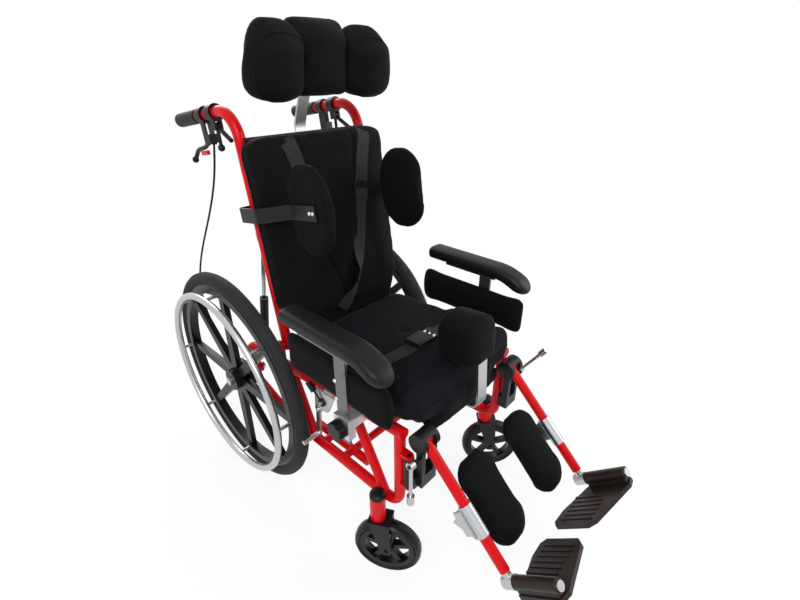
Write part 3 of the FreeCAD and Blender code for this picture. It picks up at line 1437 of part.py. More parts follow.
def wheel_lock_shoe():
    """Arm of the wheel lock with the round shoe across the tyre."""
    hub_point = place(lock_x, size.lock_arm_ahead, size.lock_arm_z)
    outward = Vector(-1, 0, 0)
    hub = cylinder("shoe_hub", hub_point, outward, "lock_pin_d / 2 + 6", "lock_plate - 1")
    shoe_z = size.lock_arm_z - size.lock_shoe_drop
    shoe_ahead = math.sqrt(shoe_open ** 2 - (axle_z - shoe_z) ** 2)
    shoe_start = place(lock_x, shoe_ahead, shoe_z)
    shoe_end = place(-size.wheel_x - size.tyre_width / 2 - 4, shoe_ahead, shoe_z)
    shoe = bar("shoe_bar", shoe_start, shoe_end, "lock_shoe_d / 2")
    side = Vector(0, 7, 0)
    outline = [hub_point - side, hub_point + side, shoe_start + side, shoe_start - side]
    arm = plate("shoe_arm", outline, outward * (size.lock_plate - 1))
    bore = cylinder("shoe_hub_bore", hub_point, outward, "lock_pin_d / 2 + pin_gap", "lock_plate")
    return cut("shoe", fuse("shoe_raw", [hub, arm, shoe]), bore)


def pommel():
    """Pommel pad on a bent bar that slides in the pan's guide."""
    front = -size.pommel_bar_front
    middle_y = size.pommel_depth / 2 - size.pommel_front
    sole = seat_top(0) + size.pommel_lift
    path = [Vector(0, -215, pommel_bar_z), Vector(0, front, pommel_bar_z), Vector(0, front, sole - 2)]
    points = [on_seat.multVec(point) for point in path]
    stand = strip("pommel_bar", points, [20], size.pommel_bar_width, size.pommel_bar_thick, ALONG_X)
    shoe_low = Vector(-size.pommel_bar_width / 2, front - size.pommel_bar_thick / 2, sole - 5)
    shoe_high = Vector(size.pommel_bar_width / 2, middle_y + 20, sole - size.pass_gap)
    shoe = block("pommel_shelf", shoe_low, shoe_high, on_seat)
    edge = size.pommel_height - size.pommel_crown
    shape = cushion(size.pommel_width, size.pommel_depth, edge, size.pommel_crown, size.pommel_corner)
    pad_at = Placement(Vector(0, middle_y, sole), Rotation())
    pad = shape_piece("pommel_pad", shape, on_seat.multiply(pad_at))
    return group("pommel_set", [fuse("pommel_stand", [stand, shoe]), pad])


def brake_cables():
    """Drum-brake cables from the brake mounts down behind the wheels to the drum plates."""
    route = [
        (-172, -50, 866),
        (-174, -77, 806),
        (-178, -112, 744),
        (-183, -150, 684),
        (-191, -184, 622),
        (-200, -208, 558),
        (-206, -219, 494),
        (-207, -212, 431),
        (-207, -182, 376),
        (-207, -132, 342),
        (-207, -88, 327),
        (-207, -47.0, 319),
    ]
    stop_foot = back_point(-size.cane_x, size.clamp_behind - 14, size.brake_pivot_up - 6.3)
    points = [stop_foot] + [place(*stop) for stop in route]
    radii = []
    for before, corner, after in zip(points, points[1:], points[2:]):
        half_turn = (corner - before).getAngle(after - corner) / 2
        shorter = min((corner - before).Length, (after - corner).Length)
        radii.append(0.45 * shorter / math.tan(half_turn))
    right = tube("cable", points, radii, "cable_d / 2")
    return group("cables", [right, mirrored("cable_left", right)])


right_frame = side_frame()
left_frame = mirrored("side_frame_mirror", right_frame)
keep(right_frame, "side_frame_right")
keep(left_frame, "side_frame_left")
keep(cross_tubes(group("both_sides", [right_frame, left_frame])), "cross_tubes")
keep(seat_pan(), "seat_pan")
keep(seat_cushion(), "seat_cushion")
keep(rear_axles(), "rear_axles")
keep(frame_brackets(right_frame), "frame_brackets")
keep(lap_belt(), "lap_belt")
keep(back_canes(), "back_canes")
keep(back_board(), "back_board")
keep(back_cushion(), "back_cushion")
keep(handle_grips(), "handle_grips")
keep(lever_clamps(), "lever_clamps")
keep(harness_straps(), "harness_straps")
keep(brake_cables(), "brake_cables")
keep(strut_cylinders(), "strut_cylinders")
keep(strut_rods(), "strut_rods")
keep(headrest_stem(), "headrest_stem")
keep(headrest(), "headrest")
keep_pair(lateral_support(), "lateral_support")
keep_pair(armrest_post(), "armrest_post")
keep_pair(armrest_pad(), "armrest_pad")
keep_pair(side_panel(), "side_panel")
keep_pair(armrest_knob(), "armrest_knob")
keep_pair(rear_wheel(), "rear_wheel")
keep_pair(rear_tyre(), "rear_tyre")
keep_pair(handrim(), "handrim")
for side, word, turn in ((-1, "right", size.caster_turn_right), (1, "left", size.caster_turn_left)):
    keep(caster_fork(side, turn), f"caster_fork_{word}")
    keep(caster_wheel(side, turn), f"caster_wheel_{word}")
keep_pair(hanger(), "hanger")
keep_pair(leg_tube(), "leg_tube")
keep_pair(calf_pad(), "calf_pad")
keep_pair(leg_extension(), "leg_extension")
keep_pair(footplate(), "footplate")
keep(leg_release_lever(-1, size.leg_lever_turn_right), "leg_release_lever_right")
keep(leg_release_lever(1, size.leg_lever_turn_left), "leg_release_lever_left")
keep_pair(wheel_lock_lever(), "wheel_lock_lever")
keep_pair(wheel_lock_shoe(), "wheel_lock_shoe")
keep_pair(brake_lever(), "brake_lever")
keep_pair(recline_lever(), "recline_lever")
keep(pommel(), "pommel")
doc.recompute()

for obj in doc.Objects:
    if "Invalid" in obj.State or "Error" in obj.State:
        raise RuntimeError(f"{obj.Name} did not compute")
os.makedirs("parts", exist_ok=True)
for piece in pieces:
    shape = piece.Shape
    if shape.isNull() or not shape.isValid() or not shape.Solids:
        raise RuntimeError(f"{piece.Label} is not a valid solid")
    shape.exportStep(f"parts/{piece.Label}.step")
print(len(pieces), "sub-parts written")
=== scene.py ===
import math

import bmesh
import bpy
import numpy as np
from mathutils import Matrix, Vector


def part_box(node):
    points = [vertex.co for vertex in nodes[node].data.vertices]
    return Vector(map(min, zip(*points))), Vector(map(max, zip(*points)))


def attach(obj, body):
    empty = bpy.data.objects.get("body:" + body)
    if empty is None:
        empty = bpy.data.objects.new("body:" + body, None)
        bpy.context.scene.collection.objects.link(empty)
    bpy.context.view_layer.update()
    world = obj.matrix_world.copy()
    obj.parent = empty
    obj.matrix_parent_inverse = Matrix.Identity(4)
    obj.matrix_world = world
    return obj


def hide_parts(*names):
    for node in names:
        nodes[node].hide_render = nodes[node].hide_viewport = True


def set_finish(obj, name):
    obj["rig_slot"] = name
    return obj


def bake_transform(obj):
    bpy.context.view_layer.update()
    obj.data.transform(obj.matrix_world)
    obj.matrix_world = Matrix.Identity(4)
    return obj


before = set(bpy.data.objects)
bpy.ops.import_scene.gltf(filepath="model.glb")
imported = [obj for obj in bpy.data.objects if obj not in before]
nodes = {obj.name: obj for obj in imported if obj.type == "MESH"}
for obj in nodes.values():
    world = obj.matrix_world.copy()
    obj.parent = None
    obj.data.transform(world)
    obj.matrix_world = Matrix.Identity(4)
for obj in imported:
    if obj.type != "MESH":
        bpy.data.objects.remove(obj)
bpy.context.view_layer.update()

# Lengths are in millimetres, apart from those multiplied by MM, which are in metres as Blender needs them.
MM = 0.001
SIDES = (("right", -1), ("left", 1))
AXLE_Y = 311.8 * MM
MERGE_GAP = 0.001 * MM


def leaning_frame(ahead, z, degrees):
    """Origin and axes of a frame that leans back about X, its place counted forwards from the rear axle."""
    lean = math.radians(-degrees)
    turn = np.array(((1, 0, 0), (0, math.cos(lean), -math.sin(lean)), (0, math.sin(lean), math.cos(lean))))
    return np.array((0, AXLE_Y - ahead * MM, z * MM)), turn


# The seat lies on its rails, the backrest leans from its pivot, a leg hangs from its knee.
SEAT = leaning_frame(236, 411, 4.5)
BACK = leaning_frame(160, 455, 9)
LEG = leaning_frame(606, 424, 46)


def to_world(place, points):
    """Points of a leaning frame, in millimetres, set in the chair's frame in metres."""
    origin, turn = place
    return origin + np.asarray(points, float) * MM @ turn.T


def to_local(place, points):
    """Points of the chair's frame, in metres, read in a leaning frame in millimetres."""
    origin, turn = place
    return (points - origin) @ turn / MM


def paint(code):
    """Linear colour of an sRGB hex code."""
    parts = [int(code[at:at + 2], 16) / 255 for at in (1, 3, 5)]
    linear = [v / 12.92 if v <= 0.04045 else ((v + 0.055) / 1.055) ** 2.4 for v in parts]
    return (*linear, 1.0)


def put(tree, kind, settings, links):
    """Add one node, set its sockets or properties by name and link its sockets to their sources."""
    item = tree.nodes.new(kind)
    for name, value in settings.items():
        if isinstance(name, str) and hasattr(item, name):
            setattr(item, name, value)
        else:
            item.inputs[name].default_value = value
    for name, source in links.items():
        tree.links.new(source, item.inputs[name])
    return item


def new_finish(name, settings):
    """New material with the shader's own sockets set, given with its tree, shader and object coordinates."""
    finish = bpy.data.materials.new(name)
    finish.use_nodes = True
    tree = finish.node_tree
    shader = tree.nodes["Principled BSDF"]
    for socket, value in settings.items():
        shader.inputs[socket].default_value = value
    place = put(tree, "ShaderNodeTexCoord", {}, {})
    return finish, tree, shader, place.outputs["Object"]


WAVE_PERIOD = 2 * math.pi / 20


def per_metre(millimetres):
    """Pattern scale that repeats once in this many millimetres."""
    return 1.0 / (millimetres * MM)


def bands_apart(millimetres):
    """Scale of a wave texture for bands this far apart: at scale 1 they lie WAVE_PERIOD metres apart."""
    return per_metre(millimetres) * WAVE_PERIOD


def lay_skin(tree, shader, tone, hues, relief, strength, depth, rough=None, wear=None):
    """Lay a skin on a shader: the tone pattern mixes two colours, the relief pattern raises the skin by a
    depth, and the wear pattern, or else the relief, spreads the roughness between two values."""
    colours = {"Color1": paint(hues[0]), "Color2": paint(hues[1])}
    tint = put(tree, "ShaderNodeMixRGB", colours, {"Fac": tone})
    tree.links.new(tint.outputs["Color"], shader.inputs["Base Color"])
    raised = put(tree, "ShaderNodeBump", {"Strength": strength, "Distance": depth * MM}, {"Height": relief})
    tree.links.new(raised.outputs["Normal"], shader.inputs["Normal"])
    if rough:
        pattern = relief if wear is None else wear
        spread = put(tree, "ShaderNodeMapRange", {"To Min": rough[0], "To Max": rough[1]}, {"Value": pattern})
        tree.links.new(spread.outputs["Result"], shader.inputs["Roughness"])


def red_powder_coat():
    """Red powder coat, baked from dry powder: a glossy skin with a faint orange-peel ripple, 4 mm wide."""
    settings = {"Roughness": 0.28, "IOR": 1.5, "Specular IOR Level": 0.16}
    finish, tree, shader, place = new_finish("red_powder_coat", settings)
    cloud = put(tree, "ShaderNodeTexNoise", {"Scale": per_metre(70)}, {"Vector": place})
    peel = put(tree, "ShaderNodeTexNoise", {"Scale": per_metre(4), "Detail": 1.0}, {"Vector": place})
    hues = ("#b9040c", "#cb0811")
    lay_skin(tree, shader, cloud.outputs["Fac"], hues, peel.outputs["Fac"], strength=0.25, depth=0.05)
    return finish


def black_powder_coat():
    """Black powder coat on steel: satin, with a fine grain of about 1.2 mm that breaks its highlights."""
    settings = {"Specular IOR Level": 0.22}
    finish, tree, shader, place = new_finish("black_powder_coat", settings)
    cloud = put(tree, "ShaderNodeTexNoise", {"Scale": per_metre(50)}, {"Vector": place})
    grain = put(tree, "ShaderNodeTexNoise", {"Scale": per_metre(1.2)}, {"Vector": place}).outputs["Fac"]
    hues = ("#0c0c0d", "#151516")
    lay_skin(tree, shader, cloud.outputs["Fac"], hues, grain, strength=0.3, depth=0.06, rough=(0.3, 0.46))
    return finish


BRUSH_WIDE = 10 / 9
BRUSH_LONG = 50 / 3


def brushed_metal(name, hues, roughness):
    """Aluminium or zinc-plated steel, brushed: grey with fine lines along X that spread its highlights."""
    finish, tree, shader, place = new_finish(name, {"Metallic": 1.0})
    # The brush lines are about 0.1 mm wide; they are drawn a millimetre wide so that they show.
    scale = (per_metre(BRUSH_LONG), per_metre(BRUSH_WIDE), per_metre(BRUSH_WIDE))
    stretch = put(tree, "ShaderNodeMapping", {"Scale": scale}, {"Vector": place}).outputs["Vector"]
    lines = put(tree, "ShaderNodeTexNoise", {"Scale": 1.0, "Detail": 3.0}, {"Vector": stretch}).outputs["Fac"]
    rough = (roughness - 0.1, roughness + 0.1)
    lay_skin(tree, shader, lines, hues, lines, strength=0.2, depth=0.03, rough=rough)
    return finish


def knitted_cover(name, hues, bump):
    """Knitted polyester cover on foam: dull, with a mesh of small stitches and a faint sheen at its edges."""
    settings = {"Specular IOR Level": 0.09, "Sheen Weight": 0.02, "Sheen Roughness": 0.4}
    finish, tree, shader, place = new_finish(name, settings)
    cloud = put(tree, "ShaderNodeTexNoise", {"Scale": per_metre(45)}, {"Vector": place})
    # Real stitches are about half a millimetre; they are drawn 2 mm wide so that they show.
    cells = put(tree, "ShaderNodeTexVoronoi", {"Scale": per_metre(2)}, {"Vector": place}).outputs["Distance"]
    lay_skin(tree, shader, cloud.outputs["Fac"], hues, cells, strength=bump, depth=0.3, rough=(0.7, 0.88))
    return finish


def moulded_foam_skin():
    """Polyurethane foam moulded with its own skin: satin black, with leather grain of about 2 mm."""
    finish, tree, shader, place = new_finish("moulded_foam_skin", {"Specular IOR Level": 0.2})
    cloud = put(tree, "ShaderNodeTexNoise", {"Scale": per_metre(40)}, {"Vector": place})
    cells = put(tree, "ShaderNodeTexVoronoi", {"Scale": per_metre(2.2)}, {"Vector": place})
    hues, grain = ("#0b0b0c", "#131314"), cells.outputs["Distance"]
    lay_skin(tree, shader, cloud.outputs["Fac"], hues, grain, strength=0.2, depth=0.15, rough=(0.34, 0.5))
    return finish


def moulded_nylon(name, hues, roughness):
    """Nylon from an injection mould with a spark-eroded wall: even satin with a very fine pebble."""
    finish, tree, shader, place = new_finish(name, {"Specular IOR Level": 0.22})
    cloud = put(tree, "ShaderNodeTexNoise", {"Scale": per_metre(35)}, {"Vector": place})
    pebble = put(tree, "ShaderNodeTexNoise", {"Scale": per_metre(0.9)}, {"Vector": place}).outputs["Fac"]
    rough = (roughness - 0.08, roughness + 0.08)
    lay_skin(tree, shader, cloud.outputs["Fac"], hues, pebble, strength=0.25, depth=0.05, rough=rough)
    return finish


def vulcanised_tyre():
    """Vulcanised rubber tyre: matt dark grey, a little dusty, with grooves round the tread 7 mm apart."""
    finish, tree, shader, place = new_finish("vulcanised_tyre", {"Specular IOR Level": 0.25})
    cloud = {"Scale": per_metre(25), "Detail": 6.0}
    dust = put(tree, "ShaderNodeTexNoise", cloud, {"Vector": place}).outputs["Fac"]
    bands = {"wave_type": "BANDS", "bands_direction": "X", "Scale": bands_apart(7)}
    tread = put(tree, "ShaderNodeTexWave", bands, {"Vector": place}).outputs["Fac"]
    hues = ("#131314", "#242425")
    lay_skin(tree, shader, dust, hues, tread, strength=0.5, depth=0.6, rough=(0.62, 0.85), wear=dust)
    return finish


def ribbed_grip_rubber():
    """Soft rubber moulded with ribs across the grip about 8 mm apart: matt black."""
    settings = {"Roughness": 0.6, "Specular IOR Level": 0.25}
    finish, tree, shader, place = new_finish("ribbed_grip_rubber", settings)
    cloud = put(tree, "ShaderNodeTexNoise", {"Scale": per_metre(20)}, {"Vector": place})
    bands = {"wave_type": "BANDS", "bands_direction": "Y", "Scale": bands_apart(8)}
    ribs = put(tree, "ShaderNodeTexWave", bands, {"Vector": place}).outputs["Fac"]
    lay_skin(tree, shader, cloud.outputs["Fac"], ("#101011", "#1b1b1c"), ribs, strength=0.6, depth=0.6)
    return finish


def woven_webbing():
    """Polyester webbing from a narrow loom: dull dark grey, with ribs along it and fine picks across."""
    settings = {"Roughness": 0.65, "Specular IOR Level": 0.15, "Sheen Weight": 0.05}
    finish, tree, shader, _ = new_finish("woven_webbing", settings)
    run = put(tree, "ShaderNodeUVMap", {"uv_map": "run"}, {}).outputs["UV"]
    # Real warp ribs lie 2.5 mm apart and picks 1.5 mm; they are drawn 8 and 5 mm apart so that they show.
    ribs = {"wave_type": "BANDS", "bands_direction": "Y", "Scale": bands_apart(8)}
    warp = put(tree, "ShaderNodeTexWave", ribs, {"Vector": run}).outputs["Fac"]
    rows = {"wave_type": "BANDS", "bands_direction": "X", "Scale": bands_apart(5)}
    picks = put(tree, "ShaderNodeTexWave", rows, {"Vector": run}).outputs["Fac"]
    weave = put(tree, "ShaderNodeMath", {"operation": "MULTIPLY"}, {0: warp, 1: picks}).outputs["Value"]
    lay_skin(tree, shader, weave, ("#18181b", "#333338"), weave, strength=0.5, depth=0.3)
    return finish


FINISH = {
    "red": red_powder_coat(),
    "black_metal": black_powder_coat(),
    "silver": brushed_metal("bright_brushed_aluminium", ("#a9abad", "#d0d2d4"), 0.3),
    "grey_metal": brushed_metal("grey_anodised_aluminium", ("#68696b", "#818385"), 0.4),
    "zinc": brushed_metal("white_zinc_plate", ("#c6c8ca", "#e2e3e4"), 0.45),
    "cover": knitted_cover("black_knitted_cover", ("#050506", "#0a0a0c"), 0.3),
    "seat_cover": knitted_cover("slate_knitted_cover", ("#0a0a0e", "#121217"), 0.45),
    "vinyl": moulded_foam_skin(),
    "plastic": moulded_nylon("black_moulded_nylon", ("#0b0b0c", "#131314"), 0.4),
    "wheel": moulded_nylon("black_glass_filled_nylon", ("#070708", "#0e0e0f"), 0.34),
    "brown": moulded_nylon("dark_brown_moulded_nylon", ("#1d1614", "#2a211e"), 0.36),
    "signal": moulded_nylon("red_moulded_nylon", ("#bf1216", "#d4181c"), 0.34),
    "clear": moulded_nylon("white_moulded_nylon", ("#c9c9c6", "#dededa"), 0.35),
    "rubber": vulcanised_tyre(),
    "grip": ribbed_grip_rubber(),
    "webbing": woven_webbing(),
}


def dress(node, finish):
    """Put a finish on a shown CAD node."""
    data = nodes[node].data
    data.materials.clear()
    data.materials.append(FINISH[finish])


PAIR_FINISHES = (
    ("side_frame", "red"), ("armrest_post", "grey_metal"), ("armrest_knob", "plastic"),
    ("rear_wheel", "wheel"), ("rear_tyre", "rubber"), ("handrim", "silver"),
    ("caster_fork", "black_metal"), ("caster_wheel", "wheel"),
    ("hanger", "black_metal"), ("leg_tube", "red"), ("leg_extension", "silver"), ("footplate", "brown"),
    ("leg_release_lever", "silver"), ("wheel_lock_lever", "plastic"), ("wheel_lock_shoe", "silver"),
    ("recline_lever", "plastic"),
)
SINGLE_FINISHES = (
    ("cross_tubes", "red"), ("seat_pan", "plastic"), ("rear_axles", "silver"), ("frame_brackets", "zinc"),
    ("back_canes", "red"), ("back_board", "plastic"), ("handle_grips", "grip"), ("lever_clamps", "plastic"),
    ("strut_cylinders", "black_metal"), ("strut_rods", "silver"), ("headrest_stem", "zinc"),
)


def dress_frame():
    """Finishes of the CAD nodes that stay shown."""
    for node, finish in PAIR_FINISHES:
        for side, _ in SIDES:
            dress(f"{node}_{side}", finish)
    for node, finish in SINGLE_FINISHES:
        dress(node, finish)


def link(name, data):
    """New object of a mesh or curve, at the origin."""
    obj = bpy.data.objects.new(name, data)
    bpy.context.scene.collection.objects.link(obj)
    return obj


def make_active(obj):
    """Select one object alone."""
    bpy.ops.object.select_all(action="DESELECT")
    obj.select_set(True)
    bpy.context.view_layer.objects.active = obj


def read_points(data):
    """Vertices of a mesh as an array."""
    points = np.zeros(len(data.vertices) * 3)
    data.vertices.foreach_get("co", points)
    return points.reshape(-1, 3)


def write_points(data, points):
    """Move the vertices of a mesh."""
    data.vertices.foreach_set("co", points.ravel())
    data.update()


def shade_smooth(obj):
    """Smooth shading on every face."""
    obj.data.polygons.foreach_set("use_smooth", np.ones(len(obj.data.polygons), bool))


def settle(obj, finish, body, slot):
    """Give a piece its finish, the body it moves with and its slot."""
    obj.data.materials.clear()
    obj.data.materials.append(FINISH[finish])
    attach(obj, body)
    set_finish(obj, slot)
    return obj


def grid_faces(rows, columns, ring):
    """Quads between neighbouring rows of a grid whose columns close; with ring the rows close too."""
    row, column = np.meshgrid(np.arange(rows if ring else rows - 1), np.arange(columns), indexing="ij")
    after = (row + 1) % rows
    beside = (column + 1) % columns
    here, there = row * columns, after * columns
    corners = (here + column, here + beside, there + beside, there + column)
    return np.stack(corners, axis=-1).reshape(-1, 4)


def outward(data):
    """Turn every face of a closed mesh outwards."""
    mesh = bmesh.new()
    mesh.from_mesh(data)
    bmesh.ops.recalc_face_normals(mesh, faces=mesh.faces)
    mesh.to_mesh(data)
    mesh.free()


def carried(name, path, across, out, profile, ring=False, swell=1.0):
    """A closed profile carried along a path: point (i, j) = path i + swell i times the sum of profile j's
    first number along across i and its second along out i. An open path gets flat ends. The UV map holds
    metres along the path and across it."""
    columns = len(profile)
    swell = np.broadcast_to(swell, len(path))[:, None, None]
    offset = profile[None, :, :1] * across[:, None] + profile[None, :, 1:] * out[:, None]
    points = path[:, None] + swell * offset
    faces = grid_faces(len(path), columns, ring).tolist()
    if not ring:
        faces.append(list(range(columns))[::-1])
        faces.append(list(range((len(path) - 1) * columns, len(path) * columns)))
    data = bpy.data.meshes.new(name)
    data.from_pydata(points.reshape(-1, 3).tolist(), [], faces)
    run = np.concatenate(([0], np.cumsum(np.linalg.norm(np.diff(path, axis=0), axis=1))))
    along, aside = np.broadcast_arrays(run[:, None], profile[None, :, 0])
    corner = np.zeros(len(data.loops), int)
    data.loops.foreach_get("vertex_index", corner)
    flat = np.stack((along.ravel(), aside.ravel()), axis=1)
    data.uv_layers.new(name="run").data.foreach_set("uv", flat[corner].ravel())
    outward(data)
    return link(name, data)


def unit(rows):
    """Rows of an array brought to length one."""
    return rows / np.linalg.norm(rows, axis=-1, keepdims=True)


def headings(path, ring):
    """Direction of a path at each of its points, from its two neighbours."""
    ahead = np.roll(path, -1, axis=0) - np.roll(path, 1, axis=0)
    if not ring:
        ahead[0] = path[1] - path[0]
        ahead[-1] = path[-1] - path[-2]
    return unit(ahead)


def round_profile(radius, sides):
    """Circle of a cord: (r cos a, r sin a)."""
    turn = np.linspace(0, 2 * np.pi, sides, endpoint=False)
    return radius * np.stack((np.cos(turn), np.sin(turn)), axis=1)


TURNED_SIDES = 28


def turned(name, outline, foot, way, sides=TURNED_SIDES):
    """A lathe-turned piece: outline rows of height and radius in millimetres, turned about a line from foot
    along way; point (i, a) = foot + height i + radius i (cos a, sin a)."""
    way = unit(np.asarray(way, float))
    guide = np.array((0.0, 0.0, 1.0)) if abs(way[2]) < 0.9 else np.array((0.0, 1.0, 0.0))
    first = unit(np.cross(way, guide))
    second = np.cross(way, first)
    outline = np.asarray(outline, float) * MM
    circle = round_profile(1.0, sides)
    rim = circle[:, :1] * first + circle[:, 1:] * second
    points = np.asarray(foot) + outline[:, None, :1] * way + outline[:, None, 1:] * rim[None]
    faces = grid_faces(len(outline), sides, False).tolist()
    faces.append(list(range(sides))[::-1])
    faces.append(list(range((len(outline) - 1) * sides, len(outline) * sides)))
    data = bpy.data.meshes.new(name)
    data.from_pydata(points.reshape(-1, 3).tolist(), [], faces)
    outward(data)
    obj = link(name, data)
    shade_smooth(obj)
    return obj


def solids_of(node):
    """A node's solids as new objects: its mesh copied, loose triangles merged, then parted solid by solid."""
    data = nodes[node].data.copy()
    mesh = bmesh.new()
    mesh.from_mesh(data)
    bmesh.ops.remove_doubles(mesh, verts=mesh.verts, dist=MERGE_GAP)
    mesh.to_mesh(data)
    mesh.free()
    make_active(link(f"{node}_solid", data))
    bpy.ops.object.mode_set(mode="EDIT")
    bpy.ops.mesh.select_all(action="SELECT")
    bpy.ops.mesh.separate(type="LOOSE")
    bpy.ops.object.mode_set(mode="OBJECT")
    return list(bpy.context.selected_objects)


def middle(obj):
    """Middle of a piece's box."""
    points = read_points(obj.data)
    return (points.min(axis=0) + points.max(axis=0)) / 2


def sorted_solids(node, axis):
    """A node's solids in order of their middles along an axis."""
    return sorted(solids_of(node), key=lambda obj: middle(obj)[axis])


def rename(obj, name):
    """One name for an object and its mesh."""
    obj.name = name
    obj.data.name = name
    return obj


PRESSURE = 4.0
CLOTH_FRAMES = 20
CLOTH_STEPS = 4
NEVER_ZERO = 1e-9


def blow_up(obj, start, cap):
    """Blow a cover up from inside, no point moving further than the cap."""
    cloth = obj.modifiers.new("stuffed", "CLOTH")
    cloth.settings.use_pressure = True
    cloth.settings.uniform_pressure_force = PRESSURE
    cloth.settings.effector_weights.gravity = 0
    cloth.settings.quality = CLOTH_STEPS
    for number in range(1, CLOTH_FRAMES + 1):
        bpy.context.scene.frame_set(number)
    blown = read_points(obj.evaluated_get(bpy.context.evaluated_depsgraph_get()).data)
    bpy.context.scene.frame_set(1)
    obj.modifiers.remove(cloth)
    way = blown - start
    length = np.linalg.norm(way, axis=1, keepdims=True)
    write_points(obj.data, start + way * np.minimum(1.0, cap / np.maximum(length, NEVER_ZERO)))


EASE_SHARE = 0.5
EASE_ROUNDS = 6


def stuff(obj, voxel, inset, cap):
    """Make a pad's solid a stuffed form: an even mesh, drawn in, blown up by cloth pressure, then eased."""
    make_active(obj)
    remesh = obj.modifiers.new("even", "REMESH")
    remesh.mode = "VOXEL"
    remesh.voxel_size = voxel * MM
    bpy.ops.object.modifier_apply(modifier=remesh.name)
    normals = np.zeros(len(obj.data.vertices) * 3)
    obj.data.vertices.foreach_get("normal", normals)
    start = read_points(obj.data) - normals.reshape(-1, 3) * inset * MM
    write_points(obj.data, start)
    blow_up(obj, start, cap * MM)
    ease = obj.modifiers.new("eased", "SMOOTH")
    ease.factor = EASE_SHARE
    ease.iterations = EASE_ROUNDS
    bpy.ops.object.modifier_apply(modifier=ease.name)
    fine = obj.modifiers.new("fine", "SUBSURF")
    fine.levels = 1
    fine.render_levels = 1
    bpy.ops.object.modifier_apply(modifier=fine.name)
    shade_smooth(obj)
    return obj


def pad(obj, name, body, node, finish="cover", slot="black_cover", voxel=5, inset=3, cap=7):
    """A stuffed pad that stands for the soft solid of a node."""
    rename(obj, name)
    stuff(obj, voxel, inset, cap)
    settle(obj, finish, body, slot)
    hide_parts(node)
    return obj


def twin(obj, name, body, node=None):
    """The same piece on the left side: x turned to minus x and the faces turned back out."""
    data = obj.data.copy()
    data.name = name
    points = read_points(data)
    points[:, 0] *= -1
    write_points(data, points)
    data.flip_normals()
    copy = link(name, data)
    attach(copy, body)
    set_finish(copy, obj["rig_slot"])
    if node:
        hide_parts(node)
    return copy


RIM_BAND = 3.0
RIM_BLUR = 0.03
RIM_STEPS = 150
LEAST_WEIGHT = 1e-12


def rim_line(obj, place, axis, level):
    """Line round a pad at a level along an axis of a frame: the pad's points near that level give a radius
    for each angle round their middle, evened over neighbouring angles."""
    local = to_local(place, read_points(obj.data))
    near = local[np.abs(local[:, axis] - level) < RIM_BAND]
    others = [number for number in range(3) if number != axis]
    flat = near[:, others]
    centre = (flat.min(axis=0) + flat.max(axis=0)) / 2
    spoke = flat - centre
    angle = np.arctan2(spoke[:, 1], spoke[:, 0])
    radius = np.hypot(spoke[:, 0], spoke[:, 1])
    even = np.linspace(-np.pi, np.pi, RIM_STEPS, endpoint=False)
    apart = np.abs(np.angle(np.exp(1j * (even[:, None] - angle[None]))))
    weight = np.exp(-((apart / RIM_BLUR) ** 2)) + LEAST_WEIGHT
    reach = (weight * radius).sum(axis=1) / weight.sum(axis=1)
    line = np.full((RIM_STEPS, 3), float(level))
    line[:, others[0]] = centre[0] + reach * np.cos(even)
    line[:, others[1]] = centre[1] + reach * np.sin(even)
    return to_world(place, line)


PIPING_R = 1.8
PIPING_SIDES = 8


def piping(obj, name, body, place, axis, level, finish="cover", slot="black_cover"):
    """Welt sewn round a pad: a thin cord along the rim line, its section square to the line."""
    path = rim_line(obj, place, axis, level)
    ahead = headings(path, True)
    across = np.broadcast_to(place[1][:, axis], path.shape)
    out = unit(np.cross(ahead, across))
    cord = carried(name, path, across, out, round_profile(PIPING_R * MM, PIPING_SIDES), ring=True)
    shade_smooth(cord)
    return settle(cord, finish, body, slot)


def line_distance(flat, stops):
    """Distance of flat points from a line of straight runs between stops."""
    stops = np.asarray(stops, float)
    run = stops[1:] - stops[:-1]
    away = flat[:, None] - stops[None, :-1]
    share = np.clip((away * run).sum(axis=2) / (run ** 2).sum(axis=1), 0, 1)
    return np.linalg.norm(away - share[..., None] * run, axis=2).min(axis=1)


def step(values, low, high):
    """Smooth rise from 0 at low to 1 at high."""
    share = np.clip((values - low) / (high - low), 0, 1)
    return share * share * (3 - 2 * share)


# Back cushion in its leaning frame: x across, -y towards the front, z up. Each pair gives where a rise starts
# and ends; shares are of the cushion's half width or of its depth.
BACK_FRONT = (45, 62)
HOLLOW_DEPTH = 8.0
HOLLOW_SIDE = (92, 140)
HOLLOW_FOOT = (40, 110)
HOLLOW_TOP = (430, 485)
BACK_SEAM = ((78, 470), (76, 330), (58, 215), (14, 105), (10, 60))
BACK_SEAM_DEPTH = 4.0
SEAM_SPREAD = 6.0
BACK_SIDE_X = 191.0
BACK_SIDE_Y = -7.0
SIDE_SHARE = (0.8, 0.97)
SIDE_FOOT = (70, 120)
BEHIND_SHARE = (0.45, 0.8)
SKIRT_DROP = 60.0
SKIRT_TOP = (42, 100)
SKIRT_REAR = (-70, -50)
SKIRT_SIDE = (138, 176)
BACK_WELT_Y = -32


